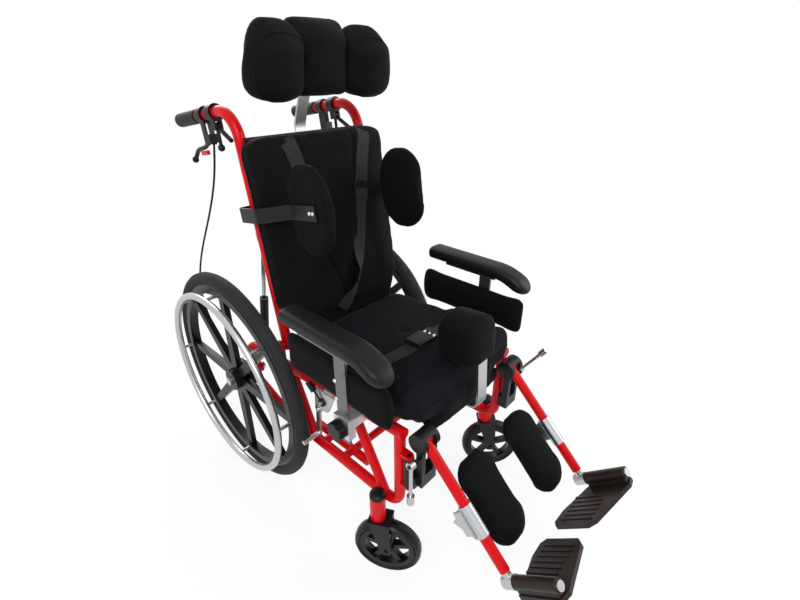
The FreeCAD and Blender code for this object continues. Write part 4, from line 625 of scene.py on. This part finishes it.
def back_cover():
    """Back cushion: side rolls stand about 8 mm before the middle, two seams draw together low down, its
    sides reach back round the canes, and the rear of its lower edge hangs down behind the seat."""
    solid = solids_of("back_cushion")[0]
    obj = pad(solid, "back_cover", "backrest", "back_cushion", voxel=6, inset=4, cap=10)
    local = to_local(BACK, read_points(obj.data))
    x, y, up = local.T
    aside = np.abs(x)
    between = step(up, *HOLLOW_FOOT) * (1 - step(up, *HOLLOW_TOP))
    hollow = HOLLOW_DEPTH * (1 - step(aside, *HOLLOW_SIDE)) * between
    from_seam = line_distance(np.stack((aside, up), axis=1), BACK_SEAM)
    crease = BACK_SEAM_DEPTH * np.exp(-((from_seam / SEAM_SPREAD) ** 2))
    local[:, 1] += step(-y, *BACK_FRONT) * (hollow + crease)
    half = np.abs(x).max()
    side = step(np.abs(x) / half, *SIDE_SHARE) * step(up, *SIDE_FOOT)
    behind = step((y - y.min()) / np.ptp(y), *BEHIND_SHARE)
    local[:, 0] += np.sign(x) * (BACK_SIDE_X - half) * side
    local[:, 1] += (BACK_SIDE_Y - y.max()) * side * behind
    skirt = (1 - step(up, *SKIRT_TOP)) * step(y, *SKIRT_REAR) * (1 - step(np.abs(x), *SKIRT_SIDE))
    local[:, 2] -= SKIRT_DROP * skirt
    write_points(obj.data, to_world(BACK, local))
    piping(obj, "back_welt", "backrest", BACK, 1, BACK_WELT_Y)
    return obj


# Seat cushion in its leaning frame: x across, -y towards the front, z up.
SEAT_TOP = (45, 65)
SEAT_DIMPLE = (-4, -179)
DIMPLE_DEPTH = 6.0
DIMPLE_SPREAD = 11.0
SEAT_SEAM = ((-190, -318), (0, -330), (190, -318))
SEAT_SEAM_DEPTH = 3.5
REAR_EDGE = (-16, 22)
REAR_REACH = 12.0
REAR_LIFT = 8.0
SEAT_UPPER = (20, 50)
ROLL_DROP = 24.0
ROLL_START = (316, 340)
ROLL_SIDE = (142, 170)
ROLL_FLOOR = -4
SEAT_WELT_Z = 36


def seat_cover():
    """Seat cushion: a sewn line where its front roll starts, a small dimple behind the pommel, its rear edge
    drawn back and up, and the underside of the roll drawn down."""
    parts = sorted(solids_of("seat_cushion"), key=lambda obj: -len(obj.data.vertices))
    make_active(parts[0])
    for part in parts[1:]:
        part.select_set(True)
    bpy.ops.object.join()
    obj = pad(parts[0], "seat_cover", "base", "seat_cushion", "seat_cover", voxel=6, inset=4, cap=10)
    local = to_local(SEAT, read_points(obj.data))
    flat = local[:, :2]
    dimple = DIMPLE_DEPTH * np.exp(-((np.linalg.norm(flat - SEAT_DIMPLE, axis=1) / DIMPLE_SPREAD) ** 2))
    crease = SEAT_SEAM_DEPTH * np.exp(-((line_distance(flat, SEAT_SEAM) / SEAM_SPREAD) ** 2))
    local[:, 2] -= step(local[:, 2], *SEAT_TOP) * (dimple + crease)
    rear = step(local[:, 1], *REAR_EDGE)
    local[:, 1] += REAR_REACH * rear
    local[:, 2] += REAR_LIFT * rear * step(local[:, 2], *SEAT_UPPER)
    under = 1 - step(local[:, 2], *SEAT_UPPER)
    roll = ROLL_DROP * under * step(-local[:, 1], *ROLL_START) * (1 - step(np.abs(local[:, 0]), *ROLL_SIDE))
    local[:, 2] -= np.where(local[:, 2] > ROLL_FLOOR, roll, 0)
    write_points(obj.data, to_world(SEAT, local))
    piping(obj, "seat_welt", "base", SEAT, 2, SEAT_WELT_Z, "seat_cover")
    return obj


HEAD_MIDDLE = (0, -64, 624)
HEAD_NOD = 9
NODDING = leaning_frame(0, 0, -HEAD_NOD)[1]
WING_ROOT = (-62, -64, 624)
WING_RISE = (0, -10, 5)
WING_SOLID_TURN = 14
WING_TURN = 5


def wing_frame(degrees, axes, shift):
    """Frame of the right wing at its root, turned forwards by this much from these axes."""
    turn = math.radians(degrees)
    spin = ((math.cos(turn), -math.sin(turn), 0), (math.sin(turn), math.cos(turn), 0), (0, 0, 1))
    return to_world(BACK, np.add(WING_ROOT, shift)), axes @ np.array(spin)


HEAD_SOLID = (to_world(BACK, HEAD_MIDDLE), BACK[1])
WING_SOLID = wing_frame(WING_SOLID_TURN, BACK[1], (0, 0, 0))
WING = wing_frame(WING_TURN, NODDING, WING_RISE)

# Shares run from -1 at one end of a pad to 1 at the other.
CORNER_DRAW = 0.05
SLOPE_START = 0.36
SLOPE_AMOUNT = 0.55
HEAD_GROWTH = (1.1, 1.4, 1.04)
NOD_DEPTH = 60.0
NOD_REACH = 20.0
WING_GROWTH = (1.25, 1.2, 1.02)
WING_KEPT = np.array((-82.0, 0, 0))
WING_CORNER = 30.0
WING_CORNER_RISE = (-0.3, 1.4)
WING_WELT_Y = -50


def square_up(local):
    """Draw the corners of a pad's outline out, more to the inner side: each way grows with the square of the
    other. Then slope its upper front back."""
    low, high = local.min(axis=0), local.max(axis=0)
    centre, half = (low + high) / 2, (high - low) / 2
    share = (local - centre) / half
    draw = CORNER_DRAW * (1 + step(share[:, 0], 0, 1))
    local[:, 0] += half[0] * share[:, 0] * draw * share[:, 2] ** 2
    local[:, 2] += half[2] * share[:, 2] * draw * share[:, 0] ** 2
    local[:, 1] *= 1 - SLOPE_AMOUNT * np.clip((share[:, 2] - SLOPE_START) / (1 - SLOPE_START), 0, 1)
    return share


def centre_shape(obj):
    """Centre pad: thicker than its solid, its front nodding forwards while its rear stays on the carrier."""
    local = to_local(HEAD_SOLID, read_points(obj.data)) * HEAD_GROWTH
    share = square_up(local)
    deep = np.clip(-local[:, 1] / NOD_DEPTH, 0, 1)
    local[:, 1] -= deep * share[:, 2] * NOD_REACH
    local[:, 2] += WING_RISE[2]
    write_points(obj.data, to_world(HEAD_SOLID, local))


def wing_shape(obj):
    """Wing: wider than its solid, nodding forwards, its upper outer corner drawn in."""
    local = WING_KEPT + (to_local(WING_SOLID, read_points(obj.data)) - WING_KEPT) * WING_GROWTH
    share = square_up(local)
    local[:, 0] += WING_CORNER * np.clip(-share[:, 0], 0, 1) * step(share[:, 2], *WING_CORNER_RISE)
    write_points(obj.data, to_world(WING, local))


def headrest_pads():
    """Headrest: a centre pad pressed between two wings, each with a welt round its front face, on a bent
    black carrier. The pads are fuller than their solids, so that they close up."""
    right, *inner, left = sorted_solids("headrest", 0)
    bpy.data.objects.remove(left)
    centre, carrier = sorted(inner, key=lambda obj: middle(obj)[1])
    settle(rename(carrier, "head_carrier"), "black_metal", "headrest", "black_metal")
    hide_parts("headrest")
    centre_shape(centre)
    pad(centre, "head_centre", "headrest", "headrest", inset=2, cap=6)
    wing_shape(right)
    wing = pad(right, "head_wing_right", "headrest", "headrest", inset=2, cap=6)
    welt = piping(wing, "head_welt_right", "headrest", WING, 1, WING_WELT_Y)
    twin(wing, "head_wing_left", "headrest", "headrest")
    twin(welt, "head_welt_left", "headrest")


LATERAL_WELTS = (-8, 8)


def lateral_pads():
    """Trunk supports: an oval pad with two welts on a bent flat bar."""
    for side, _ in SIDES:
        pad_solid, bar = sorted_solids(f"lateral_support_{side}", 1)
        settle(rename(bar, f"lateral_bar_{side}"), "black_metal", f"lateral_{side}", "black_metal")
        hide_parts(f"lateral_support_{side}")
        if side == "left":
            bpy.data.objects.remove(pad_solid)
            continue
        node = "lateral_support_right"
        right = pad(pad_solid, "lateral_pad_right", "lateral_right", node, voxel=4.5, cap=3)
    twin(right, "lateral_pad_left", "lateral_left", "lateral_support_left")
    across = middle(right)[0] / MM
    for number, offset in enumerate(LATERAL_WELTS):
        welt = piping(right, f"lateral_welt_right_{number}", "lateral_right", BACK, 0, across + offset)
        twin(welt, f"lateral_welt_left_{number}", "lateral_left")


CALF_WELT_AHEAD = 4


def calf_pads():
    """Calf pads with a welt, on silver clamps round the leg tubes."""
    for side, _ in SIDES:
        pad_solid, bracket = sorted(solids_of(f"calf_pad_{side}"), key=lambda obj: abs(middle(obj)[0]))
        settle(rename(bracket, f"calf_clamp_{side}"), "silver", f"leg_{side}", "silver_metal")
        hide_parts(f"calf_pad_{side}")
        if side == "left":
            bpy.data.objects.remove(pad_solid)
            continue
        right = pad(pad_solid, "calf_cover_right", "leg_right", "calf_pad_right", voxel=4.5, cap=6)
    twin(right, "calf_cover_left", "leg_left", "calf_pad_left")
    level = np.median(to_local(LEG, read_points(right.data))[:, 1])
    welt = piping(right, "calf_welt_right", "leg_right", LEG, 1, level - CALF_WELT_AHEAD)
    twin(welt, "calf_welt_left", "leg_left")


ARM_X = -240.0
ARM_MIDDLE_Z = 624.0
ARM_REAR = 290.0
ARM_FRONT = 588.0
ARM_BEND = 496.0
ARM_DROOP = 34.0
ARM_HALF = (27.0, 16.0)
REAR_ROUND = 16.0
NOSE_ROUND = 30.0
ARM_STEPS = (14, 40, 20)
ARM_SIDES = 48
# The section is a superellipse of this power; a higher one has tighter corners.
ARM_POWER = 3.4
# Each end's rounding stops this angle short of its tip, where the swell is at least the root of a share.
TIP_ANGLE = 0.05
TIP_SHARE = 0.002


def arm_cover():
    """Arm pad moulded in one: a soft-cornered section carried along a level line that droops towards its nose
    by the square of the way past the bend, and drawn in round both ends like a quarter circle."""
    ahead = np.concatenate((
        ARM_REAR + REAR_ROUND * (1 - np.cos(np.linspace(TIP_ANGLE, np.pi / 2, ARM_STEPS[0]))),
        np.linspace(ARM_REAR + REAR_ROUND, ARM_FRONT - NOSE_ROUND, ARM_STEPS[1])[1:-1],
        ARM_FRONT - NOSE_ROUND + NOSE_ROUND * np.sin(np.linspace(0, np.pi / 2 - TIP_ANGLE, ARM_STEPS[2])),
    ))
    past = np.clip((ahead - ARM_BEND) / (ARM_FRONT - ARM_BEND), 0, 1)
    z = ARM_MIDDLE_Z - ARM_DROOP * past ** 2
    path = np.stack((np.full_like(ahead, ARM_X * MM), AXLE_Y - ahead * MM, z * MM), axis=1)
    rear = 1 - np.clip((ahead - ARM_REAR) / REAR_ROUND, 0, 1)
    nose = 1 - np.clip((ARM_FRONT - ahead) / NOSE_ROUND, 0, 1)
    swell = np.sqrt(np.maximum(1 - rear ** 2, TIP_SHARE)) * np.sqrt(np.maximum(1 - nose ** 2, TIP_SHARE))
    circle = round_profile(1.0, ARM_SIDES)
    profile = np.sign(circle) * np.abs(circle) ** (2 / ARM_POWER) * ARM_HALF * MM
    heading = headings(path, False)
    across = np.broadcast_to((1.0, 0.0, 0.0), path.shape)
    obj = carried("arm_cover_right", path, across, unit(np.cross(across, heading)), profile, swell=swell)
    shade_smooth(obj)
    settle(obj, "vinyl", "armrest_right", "black_vinyl")
    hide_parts("armrest_pad_right")
    return obj


def armrest_pads():
    """Arm pads of moulded foam and padded side panels under them."""
    arm = arm_cover()
    twin(arm, "arm_cover_left", "armrest_left", "armrest_pad_left")
    panel_solid = solids_of("side_panel_right")[0]
    panel = pad(panel_solid, "panel_cover_right", "armrest_right", "side_panel_right", cap=5)
    twin(panel, "panel_cover_left", "armrest_left", "side_panel_left")


POMMEL_WELT_IN = 20


def pommel_pad():
    """Pommel between the thighs: a rounded block with welts round its front and rear faces, on a flat bar."""
    bar, pad_solid = sorted_solids("pommel", 2)
    settle(rename(bar, "pommel_bar"), "silver", "pommel", "silver_metal")
    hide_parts("pommel")
    obj = pad(pad_solid, "pommel_cover", "pommel", "pommel", inset=2, cap=6)
    along = to_local(SEAT, read_points(obj.data))[:, 1]
    for name, level in (("front", along.min() + POMMEL_WELT_IN), ("rear", along.max() - POMMEL_WELT_IN)):
        piping(obj, f"pommel_welt_{name}", "pommel", SEAT, 1, level)


def hand_levers():
    """Brake levers in black nylon with red park latches."""
    for side, _ in SIDES:
        latch, lever = sorted_solids(f"brake_lever_{side}", 2)
        for obj, name, finish in ((latch, "park_latch", "signal"), (lever, "brake_handle", "plastic")):
            settle(rename(obj, f"{name}_{side}"), finish, f"brake_lever_{side}", "black_plastic")
            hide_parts(f"brake_lever_{side}")


CABLE_ROUTE = np.array((
    (-170, 350.25, 915.3), (-172, 361.8, 866), (-174, 388.8, 806), (-178, 423.8, 744), (-183, 461.8, 684),
    (-191, 495.8, 622), (-200, 519.8, 558), (-206, 530.8, 494), (-207, 523.8, 431), (-207, 493.8, 376),
    (-207, 443.8, 342), (-207, 399.8, 327), (-207, 358.8, 319),
))
CABLE_D = 5.0


def brake_cables():
    """Black cable housings from the levers to the drums, bending between the backrest and the base."""
    for side, sign in SIDES:
        curve = bpy.data.curves.new(f"brake_cable_{side}", "CURVE")
        curve.dimensions = "3D"
        curve.bevel_depth = CABLE_D / 2 * MM
        curve.bevel_resolution = 2
        curve.use_fill_caps = True
        line = curve.splines.new("NURBS")
        line.points.add(len(CABLE_ROUTE) - 1)
        route = CABLE_ROUTE * (-sign, 1, 1) * MM
        line.points.foreach_set("co", np.hstack((route, np.ones((len(route), 1)))).ravel())
        line.order_u = 3
        line.use_endpoint_u = True
        line.resolution_u = 8
        obj = link(f"brake_cable_{side}", curve)
        make_active(obj)
        bpy.ops.object.convert(target="MESH")
        obj = bpy.context.view_layer.objects.active
        shade_smooth(obj)
        obj.data.materials.clear()
        obj.data.materials.append(FINISH["plastic"])
        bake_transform(obj)
        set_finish(obj, "cable_jacket")
        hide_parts("brake_cables")


STRAP_WIDTH = 38.0
STRAP_THICK = 2.0
STRAP_LIFT = 0.6
STRAP_STEPS = 90
CORNER_ROUNDS = 25
NEAR_COVER = 9.0
LEAST_SHARE = 1e-30


def flat_profile(width, thick):
    """Section of a strap: a flat strip with its four edges broken, widths across and thickness outwards."""
    half = width / 2
    edge = thick / 3
    low = np.array(((-half, edge), (-half + edge, 0), (0, 0), (half - edge, 0), (half, edge)))
    high = (0, thick) - low
    return np.concatenate((low, high)) * MM


def smooth_run(stops, steps):
    """Even points on a line of straight runs, its corners eased by averaging neighbours."""
    stops = np.asarray(stops, float)
    run = np.concatenate(([0], np.cumsum(np.linalg.norm(np.diff(stops, axis=0), axis=1))))
    at = np.linspace(0, run[-1], steps)
    line = np.stack([np.interp(at, run, stops[:, axis]) for axis in range(stops.shape[1])], axis=1)
    for _ in range(CORNER_ROUNDS):
        line[1:-1] = (line[:-2] + 2 * line[1:-1] + line[2:]) / 4
    return line


def cover_height(surface, flat):
    """Height of a cover over flat places: the mean of its points' heights, nearer points weighing more."""
    apart = np.linalg.norm(flat[:, None] - surface[None, :, :2], axis=2)
    weight = np.exp(-((apart / NEAR_COVER) ** 2)) + LEAST_SHARE
    return (weight * surface[:, 2]).sum(axis=1) / weight.sum(axis=1)


TWIST_UP = 128.0
TWIST_SPREAD = 42.0
TUCK_RUN = (0.88, 1)


def strap_on_back(name, cover, stops, width=STRAP_WIDTH, lift=STRAP_LIFT, twist=0.0, tuck=0.0):
    """Webbing laid down the back cushion along stops of x and height, standing on the cover's front. A twist
    turns it on edge by a bell curve of the height, and a tuck sinks its lower end into the cushion."""
    local = to_local(BACK, read_points(cover.data))
    front = local[local[:, 1] < np.median(local[:, 1])]
    surface = np.stack((front[:, 0], front[:, 2], -front[:, 1]), axis=1)
    flat = smooth_run(stops, STRAP_STEPS)
    sink = tuck * step(np.linspace(0, 1, STRAP_STEPS), *TUCK_RUN)
    line = np.stack((flat[:, 0], -cover_height(surface, flat) - lift + sink, flat[:, 1]), axis=1)
    path = to_world(BACK, line)
    ahead = headings(path, False)
    out = np.broadcast_to(-BACK[1][:, 1], path.shape)
    turn = math.radians(twist) * np.exp(-(((flat[:, 1:] - TWIST_UP) / TWIST_SPREAD) ** 2))
    across = unit(np.cross(ahead, out)) * np.cos(turn) + out * np.sin(turn)
    path = path + out * np.sin(turn) * width / 2 * MM
    return carried(name, path, across, unit(np.cross(across, ahead)), flat_profile(width, STRAP_THICK))


# Straps as stops of x and height, with their twist in degrees and their tuck.
SHOULDER_STRAPS = (
    ("right", ((-104, 476), (-85, 420), (-74, 350), (-70, 262)), 0, 9),
    ("left", ((120, 476), (105, 420), (87, 345), (64, 250), (34, 145), (2, 95), (-36, 58)), 52, 0),
)
SLIDER = ((90, 357), (87, 341))
SLIDER_WIDTH = STRAP_WIDTH + 8
SLIDER_LIFT = STRAP_THICK + 1
LOOP = ((88, 347), (82, 313))
LOOP_WIDTH = STRAP_WIDTH - 1
LOOP_LIFT = STRAP_THICK + STRAP_LIFT


def harness(cover):
    """Two shoulder straps down the back cushion, with a slider and a doubled end on the left one."""
    for side, stops, twist, tuck in SHOULDER_STRAPS:
        strap = strap_on_back(f"shoulder_strap_{side}", cover, stops, twist=twist, tuck=tuck)
        settle(strap, "webbing", "backrest", "grey_webbing")
        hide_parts("harness_straps")
    bar = strap_on_back("strap_slider", cover, SLIDER, SLIDER_WIDTH, SLIDER_LIFT)
    settle(bar, "plastic", "backrest", "grey_webbing")
    doubled = strap_on_back("strap_loop", cover, LOOP, LOOP_WIDTH, LOOP_LIFT)
    settle(doubled, "webbing", "backrest", "grey_webbing")


def belt_on_seat(name, cover, stops, width, thick, lift):
    """Webbing laid across the seat along stops of x and y, standing on the cover's top."""
    local = to_local(SEAT, read_points(cover.data))
    surface = local[local[:, 2] > np.median(local[:, 2])]
    flat = smooth_run(stops, STRAP_STEPS)
    line = np.column_stack((flat, cover_height(surface, flat) + lift))
    path = to_world(SEAT, line)
    ahead = headings(path, False)
    out = np.broadcast_to(SEAT[1][:, 2], path.shape)
    across = unit(np.cross(ahead, out))
    return carried(name, path, across, unit(np.cross(across, ahead)), flat_profile(width, thick))


BELT_HALVES = (
    ("right", ((-196, -150), (-172, -196), (-130, -228), (-70, -242), (-20, -244))),
    ("left", ((196, -150), (172, -196), (130, -228), (76, -242), (26, -244))),
)
# Pieces of the buckle: name, finish, stops of x and y, width, thickness and lift over the seat.
BUCKLE = (
    ("belt_buckle", "plastic", ((-48, -243), (0, -244)), 46, 13, 3),
    ("belt_tongue", "plastic", ((14, -244), (34, -244)), 44, 8, 3),
    ("belt_prong_0", "clear", ((-4, -258), (16, -258)), 7, 5, 6),
    ("belt_prong_1", "clear", ((-4, -244), (16, -244)), 7, 5, 6),
    ("belt_prong_2", "clear", ((-4, -230), (16, -230)), 7, 5, 6),
)


def lap_belt(cover):
    """Lap belt across the seat with its buckle: a black housing, a tongue and three pale prongs."""
    for side, stops in BELT_HALVES:
        belt = belt_on_seat(f"lap_belt_{side}", cover, stops, STRAP_WIDTH, STRAP_THICK, STRAP_LIFT)
        settle(belt, "webbing", "base", "grey_webbing")
        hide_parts("lap_belt")
    for name, finish, stops, width, thick, lift in BUCKLE:
        settle(belt_on_seat(name, cover, stops, width, thick, lift), finish, "base", "black_plastic")


# The caps stand on the caster housings, which stand on caster, fork and running gap.
CASTER_D = 160
FORK_RISE = 5
FORK_CROWN = 7
RUNNING_GAP = 0.4
HOUSING_HEIGHT = 66
HOUSING_TOP = CASTER_D + FORK_RISE + FORK_CROWN + RUNNING_GAP + HOUSING_HEIGHT
HOUSING_X = 216.0
HOUSING_AHEAD = 523.0
CAP_OUTLINE = ((0.2, 17.5), (3, 18.2), (8, 17.4), (11, 14), (12.5, 8), (13, 2))
SCREW_OUTLINE = ((0, 4.6), (1.4, 4.6), (2.6, 3.4), (3.0, 1.0))
SCREW_SIDES = 16
POST_SCREW_AHEAD = 464
POST_SCREW_Z = (505, 548)
# The screws of a trunk support stand on the outer face of its bar, which lies against the back of its pad.
LATERAL_X = 133
LATERAL_HALF_THICK = 15
LATERAL_BAR_THICK = 4
LATERAL_FACE_X = LATERAL_X + LATERAL_HALF_THICK + LATERAL_BAR_THICK
LATERAL_UP = 331.0
LATERAL_SCREW_AHEAD = (176, 187)


def small_hardware():
    """Caps on the caster housings, screws on the armrest posts and on the trunk supports' plates."""
    for side, sign in SIDES:
        foot = np.array((sign * HOUSING_X * MM, AXLE_Y - HOUSING_AHEAD * MM, HOUSING_TOP * MM))
        cap = turned(f"housing_cap_{side}", CAP_OUTLINE, foot, (0, 0, 1))
        settle(cap, "plastic", "base", "black_plastic")
        low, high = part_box(f"armrest_post_{side}")
        face = low[0] if sign < 0 else high[0]
        for number, z in enumerate(POST_SCREW_Z):
            foot = np.array((face, AXLE_Y - POST_SCREW_AHEAD * MM, z * MM))
            screw = turned(f"post_screw_{side}_{number}", SCREW_OUTLINE, foot, (sign, 0, 0), SCREW_SIDES)
            settle(screw, "zinc", f"armrest_{side}", "silver_metal")
        for number, ahead in enumerate(LATERAL_SCREW_AHEAD):
            foot = to_world(BACK, (sign * LATERAL_FACE_X, -ahead, LATERAL_UP))
            screw = turned(f"lateral_screw_{side}_{number}", SCREW_OUTLINE, foot, (sign, 0, 0), SCREW_SIDES)
            settle(screw, "zinc", f"lateral_{side}", "silver_metal")


# The lens is in the photo's pixels and the camera's place in metres.
CAMERA_LENS_PX = 444.06
PHOTO_WIDTH_PX = 800.0
SENSOR_MM = 36.0
CAMERA_AT = (-0.6689, -0.6976, 1.0725)
CAMERA_TURN = math.radians(-47.22)
CAMERA_RISE = math.radians(27.73)
NEAREST_SEEN = 0.01


def photo_camera():
    """Camera of the photograph: its place and turn were found from the wheels, the frame and the handles."""
    data = bpy.data.cameras.new("camera")
    data.sensor_fit = "HORIZONTAL"
    data.sensor_width = SENSOR_MM
    data.lens = CAMERA_LENS_PX / PHOTO_WIDTH_PX * SENSOR_MM
    data.clip_start = NEAREST_SEEN
    obj = link("camera", data)
    level = math.cos(CAMERA_RISE)
    back = Vector((math.sin(CAMERA_TURN) * level, -math.cos(CAMERA_TURN) * level, math.sin(CAMERA_RISE)))
    right = Vector((math.cos(CAMERA_TURN), math.sin(CAMERA_TURN), 0))
    matrix = Matrix((right, back.cross(right), back)).transposed().to_4x4()
    matrix.translation = CAMERA_AT
    obj.matrix_world = matrix
    bpy.context.scene.camera = obj


def studio_lamp(name, place, aim, size, power):
    """Soft square lamp pointing at a spot."""
    data = bpy.data.lights.new(name, "AREA")
    data.size = size
    data.energy = power
    obj = link(name, data)
    obj.location = place
    obj.rotation_euler = (Vector(aim) - Vector(place)).to_track_quat("-Z", "Y").to_euler()


def white_when_seen(tree, surface, output, share=None):
    """Let camera, mirror and glass rays see white in place of a surface, or of the share a socket gives."""
    path = put(tree, "ShaderNodeLightPath", {}, {}).outputs
    larger = {"operation": "MAXIMUM"}
    seen = put(tree, "ShaderNodeMath", larger, {0: path["Is Camera Ray"], 1: path["Is Glossy Ray"]})
    part = put(tree, "ShaderNodeMath", larger, {0: seen.outputs[0], 1: path["Is Transmission Ray"]})
    if share is not None:
        part = put(tree, "ShaderNodeMath", {"operation": "MULTIPLY"}, {0: part.outputs[0], 1: share})
    white = put(tree, "ShaderNodeEmission", {"Color": paint("#ffffff"), "Strength": 1.0}, {})
    links = {0: part.outputs[0], 1: surface, 2: white.outputs[0]}
    mix = put(tree, "ShaderNodeMixShader", {}, links)
    tree.links.new(mix.outputs[0], output.inputs["Surface"])


# The floor, the white's fade and the lamps are in metres, the lamps' power in watts.
FLOOR_HALF = 30.0
WHITE_FADE = {"From Min": 0.7, "From Max": 1.6, "To Min": 0.86, "To Max": 1.0}
SKY_STRENGTH = 0.6
LAMPS = (
    ("key", (-2.2, -1.6, 2.8), (0, 0, 0.6), 1.8, 80),
    ("fill", (2.2, -1.8, 1.8), (0, 0, 0.5), 2.0, 40),
    ("rear", (0.6, 2.6, 2.2), (0, 0, 0.6), 1.6, 35),
)


def studio():
    """White floor and world with soft lamps from above and both sides."""
    corners = np.array(((-1, -1, 0), (1, -1, 0), (1, 1, 0), (-1, 1, 0))) * FLOOR_HALF
    data = bpy.data.meshes.new("floor")
    data.from_pydata(corners.tolist(), [], [(0, 1, 2, 3)])
    floor = link("floor", data)
    settings = {"Base Color": paint("#f6f6f6"), "Roughness": 0.9}
    finish, tree, shader, place = new_finish("white_floor", settings)
    # Near the chair the floor keeps a trace of shadow, and from 0.7 to 1.6 m out it turns fully white.
    away = put(tree, "ShaderNodeVectorMath", {"operation": "LENGTH"}, {0: place})
    share = put(tree, "ShaderNodeMapRange", WHITE_FADE, {"Value": away.outputs["Value"]})
    white_when_seen(tree, shader.outputs[0], tree.nodes["Material Output"], share.outputs["Result"])
    data.materials.append(finish)
    world = bpy.data.worlds.new("studio")
    bpy.context.scene.world = world
    world.use_nodes = True
    sky = world.node_tree.nodes["Background"]
    sky.inputs["Color"].default_value = paint("#f7f9ff")
    sky.inputs["Strength"].default_value = SKY_STRENGTH
    white_when_seen(world.node_tree, sky.outputs[0], world.node_tree.nodes["World Output"])
    for name, place, aim, size, power in LAMPS:
        studio_lamp(name, place, aim, size, power)


bpy.context.scene.view_settings.view_transform = "Standard"
photo_camera()
brake_cables()
studio()
dress_frame()
seat = seat_cover()
back = back_cover()
headrest_pads()
lateral_pads()
calf_pads()
armrest_pads()
pommel_pad()
hand_levers()
harness(back)
lap_belt(seat)
small_hardware()
